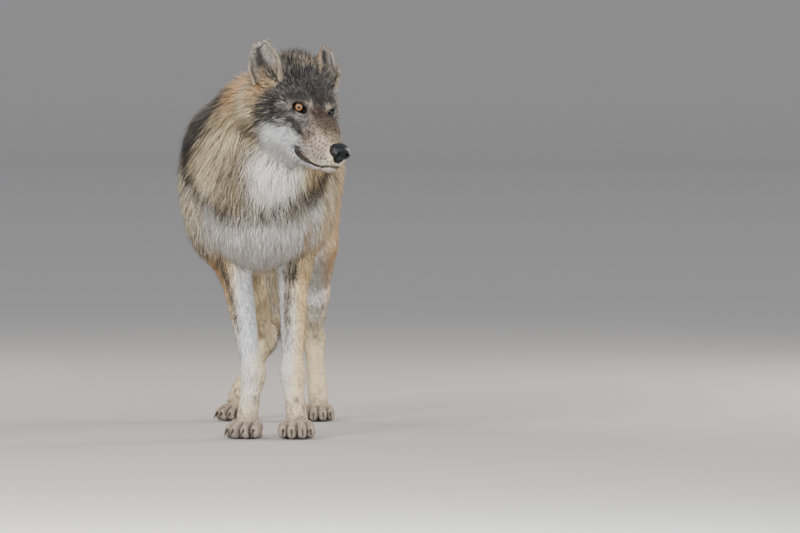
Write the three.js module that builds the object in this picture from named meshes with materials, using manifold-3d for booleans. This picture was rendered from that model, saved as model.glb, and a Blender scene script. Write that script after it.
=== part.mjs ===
// Grey wolf standing at life size, its head turned to its left and a little down.
// Millimetres, +Z up. The wolf faces -Y and its left side is +X. The floor is z = 0.
// The surface modelled is the outside of the winter coat. Soft masses and limbs are blended into
// fields, each field is skinned by rings of rays cast from a spine, and the skins are joined and
// then parted again with thin cuts.

import * as THREE from "three";
import { mergeVertices } from "three/addons/utils/BufferGeometryUtils.js";
import Module from "manifold-3d";

const wasm = await Module();
wasm.setup();

// ---- Driving dimensions ----
const seamGap = 0.4; // clear space between neighbouring parts
const eyeHeight = 709; // midpoint between the eyes, above the floor
const eyeForward = 385; // the same point, ahead of mid-body
const eyeAside = 132; // the same point, to the left of the mid-plane
const headTurn = 38.5; // degrees, to the left
const headNod = 22; // degrees, nose down
const headTilt = 9; // degrees, left side down
const eyeballRadius = 11.5;
const eyeSpacing = 78; // between the pupils
const eyeSplay = 30; // degrees that each eye looks out to its side
const lidOpening = [14.5, 10, 9.5]; // half-sizes of the almond between the lids
const lidSlant = 14; // degrees that the almond drops towards the nose
const pawWidth = 84;
const hindPawShare = 0.93; // size of a hind paw beside a fore one
const clawLength = 19;
const clawDrop = 15; // how far a claw's point hangs under its root
const clawRootHeight = 20;
const clawRadius = 4.6;
const cornerGrid = 0.01;

// Where each leg's joints are: [left, back, up], and how many degrees its paw turns to the left.
const stance = {
  foreRight: {
    top: [-90, -215, 520],
    elbow: [-64, -190, 385],
    wrist: [-17, -222, 138],
    paw: [-28, -245],
    turn: -13,
  },
  foreLeft: {
    top: [84, -215, 515],
    elbow: [67, -190, 385],
    wrist: [68, -222, 138],
    paw: [79, -245],
    turn: 8,
  },
  hindRight: {
    top: [-64, 270, 560],
    knee: [-100, 205, 405],
    hock: [-64, 408, 178],
    paw: [-124, 352],
    turn: -20,
  },
  hindLeft: {
    top: [62, 270, 560],
    knee: [76, 205, 405],
    hock: [45, 408, 178],
    paw: [60, 352],
    turn: 8,
  },
};

// The ears, in the head's frame. The right ear stands up and opens to its side, and the left one
// is laid out and back.
const earShapes = {
  ear_right: { root: [-88, 82, 46], tip: [-119, 98, 103], openTo: [-0.72, -0.66, 0.15], halfBreadth: 35 },
  ear_left: { root: [50, 92, 50], tip: [78, 132, 101], openTo: [-0.2, -0.9, -0.1], halfBreadth: 31 },
};
const earThickness = 8;
const earRootShare = -0.2; // how far an ear runs down inside the head
const earTipShare = 0.985;
const earWrapAtRoot = 2.1; // radians to each side of the middle of the back of the ear
const earWrapAtTip = 0.8;

// The lip line drawn from the side: [ahead, up] in the head's frame.
const lipLine = [[34, -90], [64, -94], [95, -92], [122, -85], [140, -74], [190, -68]];

const degrees = Math.PI / 180;
const point = (x, y, z) => new THREE.Vector3(x, y, z);

// ---- Fields: a function of a point that is negative inside the form ----

// A rounded mass with its centre and half-sizes, tipped by pitch about the left-right axis.
function mass(centre, halfSizes, pitch = 0) {
  const middle = point(...centre);
  const half = point(...halfSizes);
  const untip = new THREE.Quaternion().setFromAxisAngle(point(1, 0, 0), -pitch * degrees);
  const local = point(0, 0, 0);
  const scaled = point(0, 0, 0);
  return (p) => {
    local.subVectors(p, middle).applyQuaternion(untip);
    const near = scaled.copy(local).divide(half).length();
    const steep = scaled.divide(half).length();
    return steep < 1e-9 ? -Math.min(half.x, half.y, half.z) : (near * (near - 1)) / steep;
  };
}

// A tapered limb with round ends. A breadth over 1 makes it wider from left to right.
function limb(from, to, fromRadius, toRadius, breadth = 1) {
  const start = point(...from);
  const run = point(...to).sub(start);
  const length = run.length();
  const axis = run.clone().normalize();
  const offset = point(0, 0, 0);
  return (p) => {
    offset.subVectors(p, start);
    const along = THREE.MathUtils.clamp(offset.dot(axis), 0, length);
    offset.addScaledVector(axis, -along);
    offset.x /= breadth;
    return offset.length() - THREE.MathUtils.lerp(fromRadius, toRadius, along / length);
  };
}

function blend(forms, reach) {
  return (p) =>
    forms.reduce((nearest, form) => {
      const other = form(p);
      const overlap = Math.max(reach - Math.abs(nearest - other), 0) / reach;
      return Math.min(nearest, other) - (overlap * overlap * reach) / 4;
    }, 1e6);
}

// A form with a pit pressed smoothly into it.
function hollow(form, pit, reach) {
  return (p) => {
    const [kept, cleared] = [form(p), -pit(p)];
    const overlap = Math.max(reach - Math.abs(kept - cleared), 0) / reach;
    return Math.max(kept, cleared) + (overlap * overlap * reach) / 4;
  };
}

const mirrored = (make) => [make(-1), make(1)];

// ---- Skins: closed meshes cast onto a field ----

// The distance from a point inside the field to its surface, along a ray.
function reachOfRay(field, origin, direction, grown) {
  const longest = 420;
  const step = 4;
  const at = point(0, 0, 0);
  const outside = (distance) => field(at.copy(origin).addScaledVector(direction, distance)) > grown;
  let far = step;
  while (far < longest && !outside(far)) far += step;
  let near = far - step;
  for (let halving = 0; halving < 12; halving++) {
    const middle = (near + far) / 2;
    if (outside(middle)) far = middle;
    else near = middle;
  }
  return near;
}

// Rings of rays along a spine of straight runs, with a rounded cap of rings at each end. The rings
// are square to the line between the spine's ends, so they don't cross where it bends. A lean tips
// a ring's rays towards the far end, by degrees at each share of the spine.
function skin(field, corners, options) {
  const { rings, sides, caps = 3, reference = [0, 0, 1], lean = () => 0, grown = 0 } = options;
  const spine = new THREE.CurvePath();
  corners.slice(1).forEach((corner, i) => {
    spine.add(new THREE.LineCurve3(point(...corners[i]), point(...corner)));
  });
  const along = spine.getPoint(1).sub(spine.getPoint(0)).normalize();
  const up = point(...reference);
  up.addScaledVector(along, -up.dot(along)).normalize();
  const side = along.clone().cross(up);
  const stations = [];
  for (let i = 1; i <= caps; i++) stations.push({ share: 0, tilt: -90 + (90 * i) / (caps + 1) });
  for (let i = 0; i <= rings; i++) stations.push({ share: i / rings, tilt: lean(i / rings) });
  for (let i = caps; i >= 1; i--) stations.push({ share: 1, tilt: 90 - (90 * i) / (caps + 1) });

  const positions = [];
  const cast = (origin, direction) => {
    if (field(origin) > grown) throw new Error(`a spine leaves its form at ${origin.toArray()}`);
    const distance = reachOfRay(field, origin, direction, grown);
    positions.push(...origin.clone().addScaledVector(direction, distance).toArray());
  };
  cast(spine.getPoint(0), along.clone().negate());
  for (const { share, tilt } of stations) {
    const origin = spine.getPoint(share);
    for (let j = 0; j < sides; j++) {
      const turn = (2 * Math.PI * j) / sides;
      const outward = up.clone().multiplyScalar(Math.cos(turn));
      outward.addScaledVector(side, Math.sin(turn));
      outward.multiplyScalar(Math.cos(tilt * degrees)).addScaledVector(along, Math.sin(tilt * degrees));
      cast(origin, outward);
    }
  }
  cast(spine.getPoint(1), along);
  return closeRings(positions, stations.length, sides);
}

// Joins a first pole, rows of rings and a last pole into one closed surface.
function closeRings(positions, rows, sides) {
  const vertex = (row, j) => 1 + row * sides + (j % sides);
  const lastPole = 1 + rows * sides;
  const triangles = [];
  for (let j = 0; j < sides; j++) {
    triangles.push(0, vertex(0, j + 1), vertex(0, j));
    triangles.push(lastPole, vertex(rows - 1, j), vertex(rows - 1, j + 1));
    for (let row = 0; row < rows - 1; row++) {
      const [a, b] = [vertex(row, j), vertex(row, j + 1)];
      const [c, d] = [vertex(row + 1, j + 1), vertex(row + 1, j)];
      triangles.push(a, b, c, a, c, d);
    }
  }
  const geometry = new THREE.BufferGeometry();
  geometry.setAttribute("position", new THREE.Float32BufferAttribute(positions, 3));
  geometry.setIndex(triangles);
  return geometry;
}

// ---- Solids ----

function toSolid(geometry, matrix = new THREE.Matrix4()) {
  const placed = geometry.clone().applyMatrix4(matrix);
  const vertProperties = new Float32Array(placed.getAttribute("position").array);
  const triVerts = new Uint32Array(placed.index.array);
  return new wasm.Manifold(new wasm.Mesh({ numProp: 3, vertProperties, triVerts }));
}

function toGeometry(solid) {
  const mesh = solid.getMesh();
  const geometry = new THREE.BufferGeometry();
  geometry.setAttribute("position", new THREE.Float32BufferAttribute(mesh.vertProperties, 3));
  geometry.setIndex(new THREE.Uint32BufferAttribute(mesh.triVerts, 1));
  return geometry;
}

// A closed geometry with its shared vertices merged and its collapsed triangles dropped.
function sealed(geometry) {
  geometry.deleteAttribute("normal");
  geometry.deleteAttribute("uv");
  const merged = mergeVertices(geometry, 1e-3);
  const corners = [...merged.index.array];
  const kept = [];
  for (let i = 0; i < corners.length; i += 3) {
    const [a, b, c] = corners.slice(i, i + 3);
    if (a !== b && b !== c && a !== c) kept.push(a, b, c);
  }
  merged.setIndex(kept);
  return merged;
}

// A box between two corners, given in the frame of a matrix and grown on every side.
function boxSolid(low, high, matrix = new THREE.Matrix4(), grown = 0) {
  const from = point(...low).subScalar(grown);
  const to = point(...high).addScalar(grown);
  const size = to.clone().sub(from);
  const middle = from.add(to).multiplyScalar(0.5);
  const box = sealed(new THREE.BoxGeometry(size.x, size.y, size.z));
  return toSolid(box.translate(middle.x, middle.y, middle.z), matrix);
}

const joined = (solids) => solids.reduce((all, solid) => all.add(solid));

const largestBody = (solid) => solid.decompose().sort((a, b) => b.volume() - a.volume())[0];

// The main body of a cut solid, with its corners on a fine grid so that none nearly coincide.
function largest(solid) {
  const geometry = toGeometry(largestBody(solid));
  const corners = geometry.getAttribute("position").array;
  corners.forEach((value, i) => (corners[i] = Math.round(value / cornerGrid) * cornerGrid));
  return largestBody(toSolid(sealed(geometry)));
}

// ---- Head, in its own frame: left, back and up from the midpoint between the eyes ----

const headPlace = point(eyeAside, -eyeForward, eyeHeight);
const headPose = new THREE.Quaternion()
  .setFromAxisAngle(point(0, 0, 1), headTurn * degrees)
  .multiply(new THREE.Quaternion().setFromAxisAngle(point(1, 0, 0), headNod * degrees))
  .multiply(new THREE.Quaternion().setFromAxisAngle(point(0, 1, 0), headTilt * degrees));
const headMatrix = new THREE.Matrix4().compose(headPlace, headPose, point(1, 1, 1));
const fromHead = (p) => point(...p).applyMatrix4(headMatrix).toArray();

const skullField = blend(
  [
    mass([0, 88, 14], [80, 66, 68]), // cranium
    mass([0, 100, 60], [58, 42, 30]), // raised coat of the crown
    mass([0, 46, 8], [60, 56, 38]), // forehead
    mass([-80, 80, 37], [35, 38, 34]), // root of the right ear
    mass([60, 88, 36], [27, 36, 32]), // root of the left ear
    ...mirrored((side) => mass([side * 27, 2, 14], [20, 22, 14])), // brows
    ...mirrored((side) => mass([side * 46, 36, -14], [36, 46, 40])), // cheekbones
    ...mirrored((side) => mass([side * 70, 84, -30], [46, 54, 64])), // cheek ruff
    mass([0, 50, -66], [66, 72, 46]), // jaw muscles and throat
    limb([0, 0, -22], [0, -124, -44], 31, 22), // muzzle bridge
    ...mirrored((side) => mass([side * 20, -42, -34], [24, 50, 36])), // sides of the muzzle
    ...mirrored((side) => limb([side * 17, -16, -62], [side * 11, -118, -59], 28, 20)), // upper lips
    limb([0, 10, -86], [0, -118, -82], 29, 15, 1.3), // lower jaw
    mass([0, -130, -42], [18, 13, 17]), // nose
  ],
  18,
);
const eyeSockets = blend(mirrored((side) => mass([side * 46, -12, 1], [19, 17, 14])), 1);
const headField = hollow(skullField, eyeSockets, 8);

// The rays of the head's rings fan forwards over the cheeks and brow, and straighten at the nose.
const headLean = (share) =>
  45 * THREE.MathUtils.smoothstep(share, 0, 0.28) * (1 - THREE.MathUtils.smoothstep(share, 0.3, 0.95));
const headSpine = [[0, 110, 0], [0, 50, -10], [0, -125, -52]];
const headSkin = (grown = 0) => skin(headField, headSpine, { rings: 16, sides: 26, lean: headLean, grown });

// An ear's breadth at each share of its length.
const earBreadthAt = (share) => {
  const up = Math.max(share, 0);
  return (0.8 + 0.85 * up - 1.15 * up * up) * Math.sqrt(Math.max(1 - up ** 6, 0));
};

// An ear is a cup, nearly closed at its root and opening out to a blunt tip.
function earGeometry({ root, tip, openTo, halfBreadth }) {
  const rootPoint = point(...root);
  const axis = point(...tip).sub(rootPoint);
  const length = axis.length();
  axis.normalize();
  const facing = point(...openTo);
  facing.addScaledVector(axis, -facing.dot(axis)).normalize();
  const across = axis.clone().cross(facing);
  const rows = 7;
  const columns = 6;
  const positions = [];
  const leafPoint = (share, turn, outward) => {
    const breadth = halfBreadth * earBreadthAt(share);
    const wrap = THREE.MathUtils.lerp(earWrapAtRoot, earWrapAtTip, Math.max(share, 0));
    const radius = breadth / Math.sin(Math.min(wrap, Math.PI / 2));
    const reach = radius + outward * earThickness * (1 - 0.5 * Math.max(share, 0));
    return rootPoint
      .clone()
      .addScaledVector(axis, share * length)
      .addScaledVector(across, reach * Math.sin(turn * wrap))
      .addScaledVector(facing, radius - reach * Math.cos(turn * wrap));
  };
  positions.push(...leafPoint(earRootShare, 0, 0.5).toArray());
  for (let row = 0; row < rows; row++) {
    const share = THREE.MathUtils.lerp(
      earRootShare,
      earTipShare,
      Math.sin((row / (rows - 1)) * (Math.PI / 2)),
    );
    for (let column = 0; column <= columns; column++) {
      positions.push(...leafPoint(share, (2 * column) / columns - 1, 0).toArray());
    }
    for (let column = columns; column >= 0; column--) {
      positions.push(...leafPoint(share, (2 * column) / columns - 1, 1).toArray());
    }
  }
  positions.push(...leafPoint(1, 0, 0.5).toArray());
  return closeRings(positions, rows, 2 * (columns + 1));
}

const eyeCentre = (side) => {
  const splay = eyeSplay * degrees;
  const gaze = point(Math.sin(splay) * side, -Math.cos(splay), 0.08).normalize();
  return point((side * eyeSpacing) / 2, 0, 0).addScaledVector(gaze, -eyeballRadius);
};

// The almond-shaped opening between the lids.
const eyeOpening = (side) => {
  const almond = sealed(new THREE.SphereGeometry(1, 12, 6));
  almond.scale(...lidOpening);
  almond.rotateY(side * lidSlant * degrees).rotateZ(side * eyeSplay * degrees);
  return toSolid(almond.translate((side * eyeSpacing) / 2, 0, 0), headMatrix);
};

// ---- Body ----

const trunkField = blend(
  [
    mass([-7, -110, 545], [156, 235, 192]), // rib cage
    mass([-22, -130, 672], [92, 160, 92]), // withers
    mass([4, -262, 482], [108, 92, 116]), // breast
    mass([-114, -185, 560], [70, 98, 158], 8), // right shoulder
    mass([-95, -172, 426], [44, 60, 60]), // coat over the right elbow
    mass([84, -185, 548], [64, 98, 158], 8), // left shoulder
    mass([-6, 100, 580], [130, 250, 150]), // loin
    mass([0, -10, 450], [110, 240, 92], 4), // belly coat
    mass([0, 268, 608], [108, 146, 126]), // croup
    ...mirrored((side) => mass([side * 62, 262, 500], [54, 122, 150], -14)), // thighs
  ],
  60,
);

const neckField = blend(
  [
    limb([-14, -150, 590], [28, -262, 700], 154, 112, 1.1), // neck
    limb([-8, -255, 690], [-22, -120, 668], 104, 98), // mane
    mass([0, -292, 560], [122, 88, 120]), // throat ruff
    mass([-42, -222, 635], [134, 110, 112]), // right side of the ruff
    mass([72, -282, 640], [100, 80, 112]), // left side of the ruff
  ],
  50,
);

const tailField = blend(
  [
    limb([0, 366, 672], [-24, 428, 560], 40, 50),
    limb([-24, 428, 560], [-52, 458, 400], 50, 53),
    limb([-52, 458, 400], [-62, 470, 250], 53, 42),
    limb([-62, 470, 250], [-52, 470, 158], 42, 14),
  ],
  24,
);

const backwards = [0, 1, 0];
const trunkSpine = [[0, -250, 500], [-4, -120, 530], [0, 60, 560], [2, 270, 590]];
const neckSpine = [[0, -165, 560], [18, -245, 650], [40, -290, 715]];
const tailSpine = [[-2, 374, 660], [-24, 428, 560], [-52, 458, 400], [-62, 470, 250], [-54, 470, 175]];
const trunkSkin = (grown = 0) => skin(trunkField, trunkSpine, { rings: 15, sides: 22, grown });
const neckSkin = skin(neckField, neckSpine, { rings: 7, sides: 20, reference: backwards });
const tailSkin = skin(tailField, tailSpine, { rings: 9, sides: 10, caps: 2, reference: backwards });

// ---- Legs ----

const foreLegs = ["foreRight", "foreLeft"];
const hindLegs = ["hindRight", "hindLeft"];

// A point over a paw, at a height and a little behind its middle.
const overPaw = ([x, y], up, back) => [x, y + back, up];

function legField(name) {
  const { top, elbow, wrist, knee, hock, paw } = stance[name];
  if (foreLegs.includes(name)) {
    const heel = overPaw(paw, 44, 6);
    return blend(
      [
        limb(top, elbow, 66, 46, 0.8), // upper arm
        mass([elbow[0], elbow[1] + 8, elbow[2] - 12], [36, 46, 50]), // elbow
        limb(elbow, wrist, 40, 22.5, 0.9), // forearm
        mass([wrist[0], wrist[1] + 3, wrist[2] + 2], [24, 27, 30]), // wrist
        limb(wrist, heel, 22, 25, 1), // pastern
      ],
      22,
    );
  }
  const heel = overPaw(paw, 46, 14);
  const shin = point(...knee).lerp(point(...hock), 0.5).toArray();
  return blend(
    [
      limb(top, knee, 88, 60, 0.66), // thigh
      limb(knee, shin, 58, 38, 0.78), // upper shin
      limb(shin, hock, 38, 23, 0.86), // lower shin
      mass([hock[0], hock[1] + 12, hock[2] + 10], [22, 26, 34]), // hock
      limb(hock, heel, 23, 25, 0.95), // rear pastern
    ],
    22,
  );
}

function legSkin(name, grown = 0) {
  const { top, elbow, wrist, knee, hock, paw } = stance[name];
  const bend = elbow ?? knee;
  const low = wrist ?? hock;
  return skin(legField(name), [top, bend, low, overPaw(paw, 40, 10)], {
    rings: 14,
    sides: 10,
    caps: 2,
    reference: [0, -1, 0],
    grown,
  });
}

// A paw in its own frame: it points to -Y with its middle over the origin.
const toes = [
  { aside: -29, ahead: 24, radius: 12.5 },
  { aside: -11.5, ahead: 38, radius: 13 },
  { aside: 11.5, ahead: 38, radius: 13 },
  { aside: 29, ahead: 24, radius: 12.5 },
];
const toesWidth = toes[3].aside + toes[3].radius - toes[0].aside + toes[0].radius;
const toeCreaseReach = 5;
const toeMass = ({ aside, ahead, radius }) => {
  const tip = mass([aside, -ahead, 17], [radius, 21, 17]);
  const knuckle = mass([aside * 0.9, -ahead + 17, 25], [radius, 20, 15], 20);
  return blend([tip, knuckle], 8);
};
const instep = mass([0, 12, 26], [31, 30, 22]);
const sole = mass([0, 6, 8], [33, 40, 14]);
const pawField = blend([...toes.map(toeMass), instep, sole], toeCreaseReach);
const pawSkin = (grown = 0) =>
  skin(pawField, [[0, 26, 16], [0, -46, 16]], { rings: 6, sides: 18, caps: 2, grown });
const pawMatrix = (name) => {
  const { paw, turn } = stance[name];
  const size = (pawWidth / toesWidth) * (hindLegs.includes(name) ? hindPawShare : 1);
  const turned = new THREE.Quaternion().setFromAxisAngle(point(0, 0, 1), turn * degrees);
  return new THREE.Matrix4().compose(point(paw[0], paw[1], 0), turned, point(size, size, size));
};

// A claw curves forward and down from the front of its toe, in the paw's frame.
function clawGeometry({ aside, ahead, radius }) {
  const rows = 3;
  const sides = 6;
  const ringCentre = (share) => {
    const forward = ahead + radius + 2 + clawLength * share;
    return point(aside * (1 + 0.06 * share), -forward, clawRootHeight - clawDrop * share * share);
  };
  const positions = ringCentre(-0.05).toArray();
  for (let row = 0; row < rows; row++) {
    const share = row / rows;
    const thick = clawRadius * Math.sqrt(1 - share);
    for (let j = 0; j < sides; j++) {
      const turn = (2 * Math.PI * j) / sides;
      const rim = point(-Math.sin(turn) * thick * 0.8, 0, Math.cos(turn) * thick);
      positions.push(...ringCentre(share).add(rim).toArray());
    }
  }
  positions.push(...ringCentre(1).toArray());
  return closeRings(positions, rows, sides);
}

// ---- Parting ----

const beyond = 900; // farther from the middle than any part
const aboveFloor = boxSolid([-beyond, -beyond, 0], [beyond, beyond, 2 * beyond]);
const pawRegion = (name, grown = 0) => boxSolid([-70, -110, -20], [70, 60, 60], pawMatrix(name), grown);

// A leg's side of the body, under a plane that climbs outwards from the inside of the leg.
function legRegion(name, grown = 0) {
  const fore = foreLegs.includes(name);
  const side = name.endsWith("Left") ? 1 : -1;
  const inside = fore ? 15 : 0;
  const crotch = fore ? 350 : 418;
  const climb = fore ? 34 : 50;
  const [front, back] = fore ? [-420, -92] : [86, 520];
  const slope = new THREE.Quaternion().setFromAxisAngle(point(0, 1, 0), -side * climb * degrees);
  const tilted = new THREE.Matrix4().compose(point(inside, 0, crotch), slope, point(1, 1, 1));
  const [low, high] = side > 0 ? [inside + seamGap, beyond] : [-beyond, inside - seamGap];
  const underSlope = boxSolid([-beyond, front, -beyond], [beyond, back, 0], tilted, grown);
  return underSlope.intersect(boxSolid([low, front, 0], [high, back, beyond], undefined, grown));
}

// The neck is ahead of a plane across it, and the head is in a box round the skull.
const neckForward = point(0.1, -0.81, 0.586).normalize();
const neckMatrix = new THREE.Matrix4().compose(
  point(0, -258, 640),
  new THREE.Quaternion().setFromUnitVectors(point(0, 0, 1), neckForward),
  point(1, 1, 1),
);
const neckRegion = (grown = 0) => boxSolid([-320, -320, 0], [320, 320, 500], neckMatrix, grown);
const headRegion = (grown = 0) => boxSolid([-180, -230, -112], [180, 112, 240], headMatrix, grown);

// The lower jaw lies under the lip line.
function jawRegion(drop = 0) {
  const underChin = -150;
  const breadth = 200;
  const outline = new THREE.Shape();
  outline.moveTo(lipLine[0][0] + drop, underChin);
  for (const [ahead, up] of lipLine) outline.lineTo(ahead + drop, up - drop);
  outline.lineTo(lipLine.at(-1)[0], underChin);
  outline.closePath();
  const slab = sealed(new THREE.ExtrudeGeometry(outline, { depth: breadth, bevelEnabled: false }));
  const sideways = new THREE.Matrix4().makeBasis(point(0, -1, 0), point(0, 0, 1), point(-1, 0, 0));
  sideways.setPosition(breadth / 2, 0, 0);
  return toSolid(slab, headMatrix.clone().multiply(sideways));
}

const eyeball = (side, grown = 0) => {
  const ball = sealed(new THREE.SphereGeometry(eyeballRadius + grown, 12, 8));
  const middle = eyeCentre(side);
  return toSolid(ball.translate(middle.x, middle.y, middle.z), headMatrix);
};
const noseField = blend([mass([0, -137, -38], [22.5, 17, 15.5]), mass([0, -139, -51], [12, 14, 12])], 6);
const noseSpine = [[0, -134, -41], [0, -143, -42]];
const nosePad = (grown = 0) =>
  toSolid(skin(noseField, noseSpine, { rings: 2, sides: 16, caps: 2, grown }), headMatrix);
const nostrils = joined(
  mirrored((side) => {
    const pit = sealed(new THREE.SphereGeometry(1, 8, 6));
    pit.scale(5, 6, 4.2).rotateZ(side * 30 * degrees).translate(side * 11.5, -152, -40);
    return toSolid(pit, headMatrix);
  }),
);

const wholeHead = (grown = 0) => toSolid(headSkin(grown), headMatrix);
const legs = Object.keys(stance);
const legSolids = Object.fromEntries(legs.map((name) => [name, toSolid(legSkin(name))]));
const pawSolid = (name, grown = 0) => toSolid(pawSkin(grown), pawMatrix(name));

const solids = {};
let body = joined([
  toSolid(trunkSkin()),
  toSolid(neckSkin),
  wholeHead(),
  ...Object.values(legSolids),
  ...legs.map((name) => pawSolid(name)),
]).intersect(aboveFloor);

// Takes a region's share out of the body, with a clear seam round it.
function takeFromBody(region) {
  const taken = body.intersect(region(0));
  body = body.subtract(region(seamGap));
  return largest(taken);
}

const legNames = (name) => ({
  kind: foreLegs.includes(name) ? "fore" : "hind",
  sideName: name.endsWith("Left") ? "left" : "right",
});
for (const name of legs) {
  const { kind, sideName } = legNames(name);
  solids[`${kind}paw_${sideName}`] = takeFromBody((grown) => pawRegion(name, grown));
  toes.forEach((toe, index) => {
    const claw = toSolid(clawGeometry(toe), pawMatrix(name)).intersect(aboveFloor);
    solids[`claw_${kind}_${sideName}_${index + 1}`] = largest(claw.subtract(pawSolid(name, seamGap)));
  });
  solids[`${kind}leg_${sideName}`] = takeFromBody((grown) => legRegion(name, grown));
}
const aroundTail = [trunkSkin(seamGap), ...hindLegs.map((name) => legSkin(name, seamGap))];
solids.tail = largest(toSolid(tailSkin).subtract(joined(aroundTail.map((geometry) => toSolid(geometry)))));

let head = takeFromBody(headRegion);
solids.neck = takeFromBody(neckRegion);
solids.trunk = largest(body);
for (const [name, side] of [["right", -1], ["left", 1]]) {
  solids[`eye_${name}`] = eyeball(side);
  head = head.subtract(eyeOpening(side)).subtract(eyeball(side, seamGap));
}
solids.nose_pad = nosePad().subtract(nostrils);
head = head.subtract(nosePad(seamGap));
solids.lower_jaw = largest(head.intersect(jawRegion(seamGap)));
solids.head = largest(head.subtract(jawRegion()));
const grownHead = wholeHead(seamGap);
for (const [name, shape] of Object.entries(earShapes)) {
  solids[name] = largest(toSolid(earGeometry(shape), headMatrix).subtract(grownHead));
}

// ---- Scene graph ----

const coat = (color, roughness = 0.9) => new THREE.MeshStandardMaterial({ color, roughness, metalness: 0 });
const materials = {
  head: coat(0x6f675f),
  lower_jaw: coat(0xc9c8c2),
  nose_pad: coat(0x232429, 0.35),
  eye: coat(0xb07f3c, 0.1),
  ear: coat(0x8f857b),
  neck: coat(0xb5a88c),
  trunk: coat(0xa1978a),
  tail: coat(0xb9a984),
  foreleg: coat(0xbdb39c),
  hindleg: coat(0xb6aa92),
  forepaw: coat(0xa59c91),
  hindpaw: coat(0xa59c91),
  claw: coat(0x2b2724, 0.45),
};
const materialOf = (name) => materials[Object.keys(materials).find((key) => name.startsWith(key))];

// A mesh whose own origin is the middle of its solid, hung in a group.
function hang(group, name) {
  group.updateWorldMatrix(true, false);
  const geometry = toGeometry(solids[name]).applyMatrix4(group.matrixWorld.clone().invert());
  geometry.computeBoundingBox();
  const middle = geometry.boundingBox.getCenter(point(0, 0, 0));
  const mesh = new THREE.Mesh(geometry.translate(-middle.x, -middle.y, -middle.z), materialOf(name));
  mesh.name = name;
  mesh.position.copy(middle);
  group.add(mesh);
}

const wolf = new THREE.Group();
["trunk", "neck", "tail"].forEach((name) => hang(wolf, name));

const headGroup = new THREE.Group();
headGroup.position.copy(headPlace);
headGroup.quaternion.copy(headPose);
wolf.add(headGroup);
const headParts = ["head", "lower_jaw", "nose_pad", "eye_right", "eye_left", "ear_right", "ear_left"];
headParts.forEach((name) => hang(headGroup, name));

for (const name of legs) {
  const { kind, sideName } = legNames(name);
  const legGroup = new THREE.Group();
  legGroup.position.set(...stance[name].top);
  wolf.add(legGroup);
  hang(legGroup, `${kind}leg_${sideName}`);
  const pawGroup = new THREE.Group();
  pawMatrix(name).decompose(pawGroup.position, pawGroup.quaternion, point(1, 1, 1));
  pawGroup.position.sub(legGroup.position);
  legGroup.add(pawGroup);
  hang(pawGroup, `${kind}paw_${sideName}`);
  toes.forEach((toe, index) => hang(pawGroup, `claw_${kind}_${sideName}_${index + 1}`));
}

// The whole stands with the middle of its box over the origin.
const boxMiddle = new THREE.Box3().setFromObject(wolf, true).getCenter(point(0, 0, 0));
wolf.position.set(-boxMiddle.x, -boxMiddle.y, 0);

export default wolf;
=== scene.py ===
import math

import bmesh
import bpy
import numpy as np
from mathutils import Matrix, Vector


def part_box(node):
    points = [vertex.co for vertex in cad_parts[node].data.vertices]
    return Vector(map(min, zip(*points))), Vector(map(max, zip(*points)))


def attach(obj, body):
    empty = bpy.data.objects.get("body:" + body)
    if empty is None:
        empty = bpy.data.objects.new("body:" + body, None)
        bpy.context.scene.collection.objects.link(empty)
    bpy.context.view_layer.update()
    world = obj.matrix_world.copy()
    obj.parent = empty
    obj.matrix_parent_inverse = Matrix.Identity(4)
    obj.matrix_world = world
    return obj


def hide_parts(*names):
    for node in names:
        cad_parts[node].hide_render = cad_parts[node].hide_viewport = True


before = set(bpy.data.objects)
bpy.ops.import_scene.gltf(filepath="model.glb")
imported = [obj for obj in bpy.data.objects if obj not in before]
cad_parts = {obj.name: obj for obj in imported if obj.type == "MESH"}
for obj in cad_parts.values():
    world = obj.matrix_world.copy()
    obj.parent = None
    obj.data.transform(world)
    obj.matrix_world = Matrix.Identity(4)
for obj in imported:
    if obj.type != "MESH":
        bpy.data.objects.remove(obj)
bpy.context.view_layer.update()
print("frame loaded")

# Places and sizes are millimetres from a point on the floor under mid-body, where the wolf faces -Y
# and its left is +X. Head places are [left, back, up] from the midpoint between its eyes.
headPose = {"place": (132, -385, 709), "turn": 38.5, "nod": 22, "tilt": 9}
eyes = {
    "radius": 11.5, "spacing": 78, "splay": 30, "rise": 0.08,
    "slant": (0.757, 0.635, 0.16), "opening": (14.5, 7.6), "lid": 2.4,
}


def linkTo(obj):
    bpy.context.scene.collection.objects.link(obj)
    return obj


def unit(v):
    v = np.asarray(v, float)
    return v / np.maximum(np.linalg.norm(v, axis=-1, keepdims=True), 1e-9)


def spin(degrees, axis):
    return np.array(Matrix.Rotation(math.radians(degrees), 3, axis))


headTurn = spin(headPose["turn"], "Z") @ spin(headPose["nod"], "X") @ spin(headPose["tilt"], "Y")
headPlace = np.array(headPose["place"], float)


def fromHead(p):
    return np.asarray(p, float) @ headTurn.T + headPlace


def toHead(p):
    return (np.asarray(p, float) - headPlace) @ headTurn


def eyeGaze(side):
    splay = math.radians(eyes["splay"])
    return unit([math.sin(splay) * side, -math.cos(splay), eyes["rise"]])


def eyeCentre(side):
    return np.array([side * eyes["spacing"] / 2, 0, 0]) - eyeGaze(side) * eyes["radius"]


# The frame's own eyes tell where that point on the floor lies in it.
found = [np.mean([list(c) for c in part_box(name)], axis=0) for name in ("eye_right", "eye_left")]
meant = [fromHead(eyeCentre(side)) / 1000 for side in (-1, 1)]
origin = np.mean(np.array(found) - np.array(meant), axis=0) * (1, 1, 0)


def toScene(p):
    return np.asarray(p, float) / 1000 + origin


# Forms are functions of points, as rows x, y and z, that are below zero inside. A form's coat is
# how far the skin lies under it.


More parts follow.
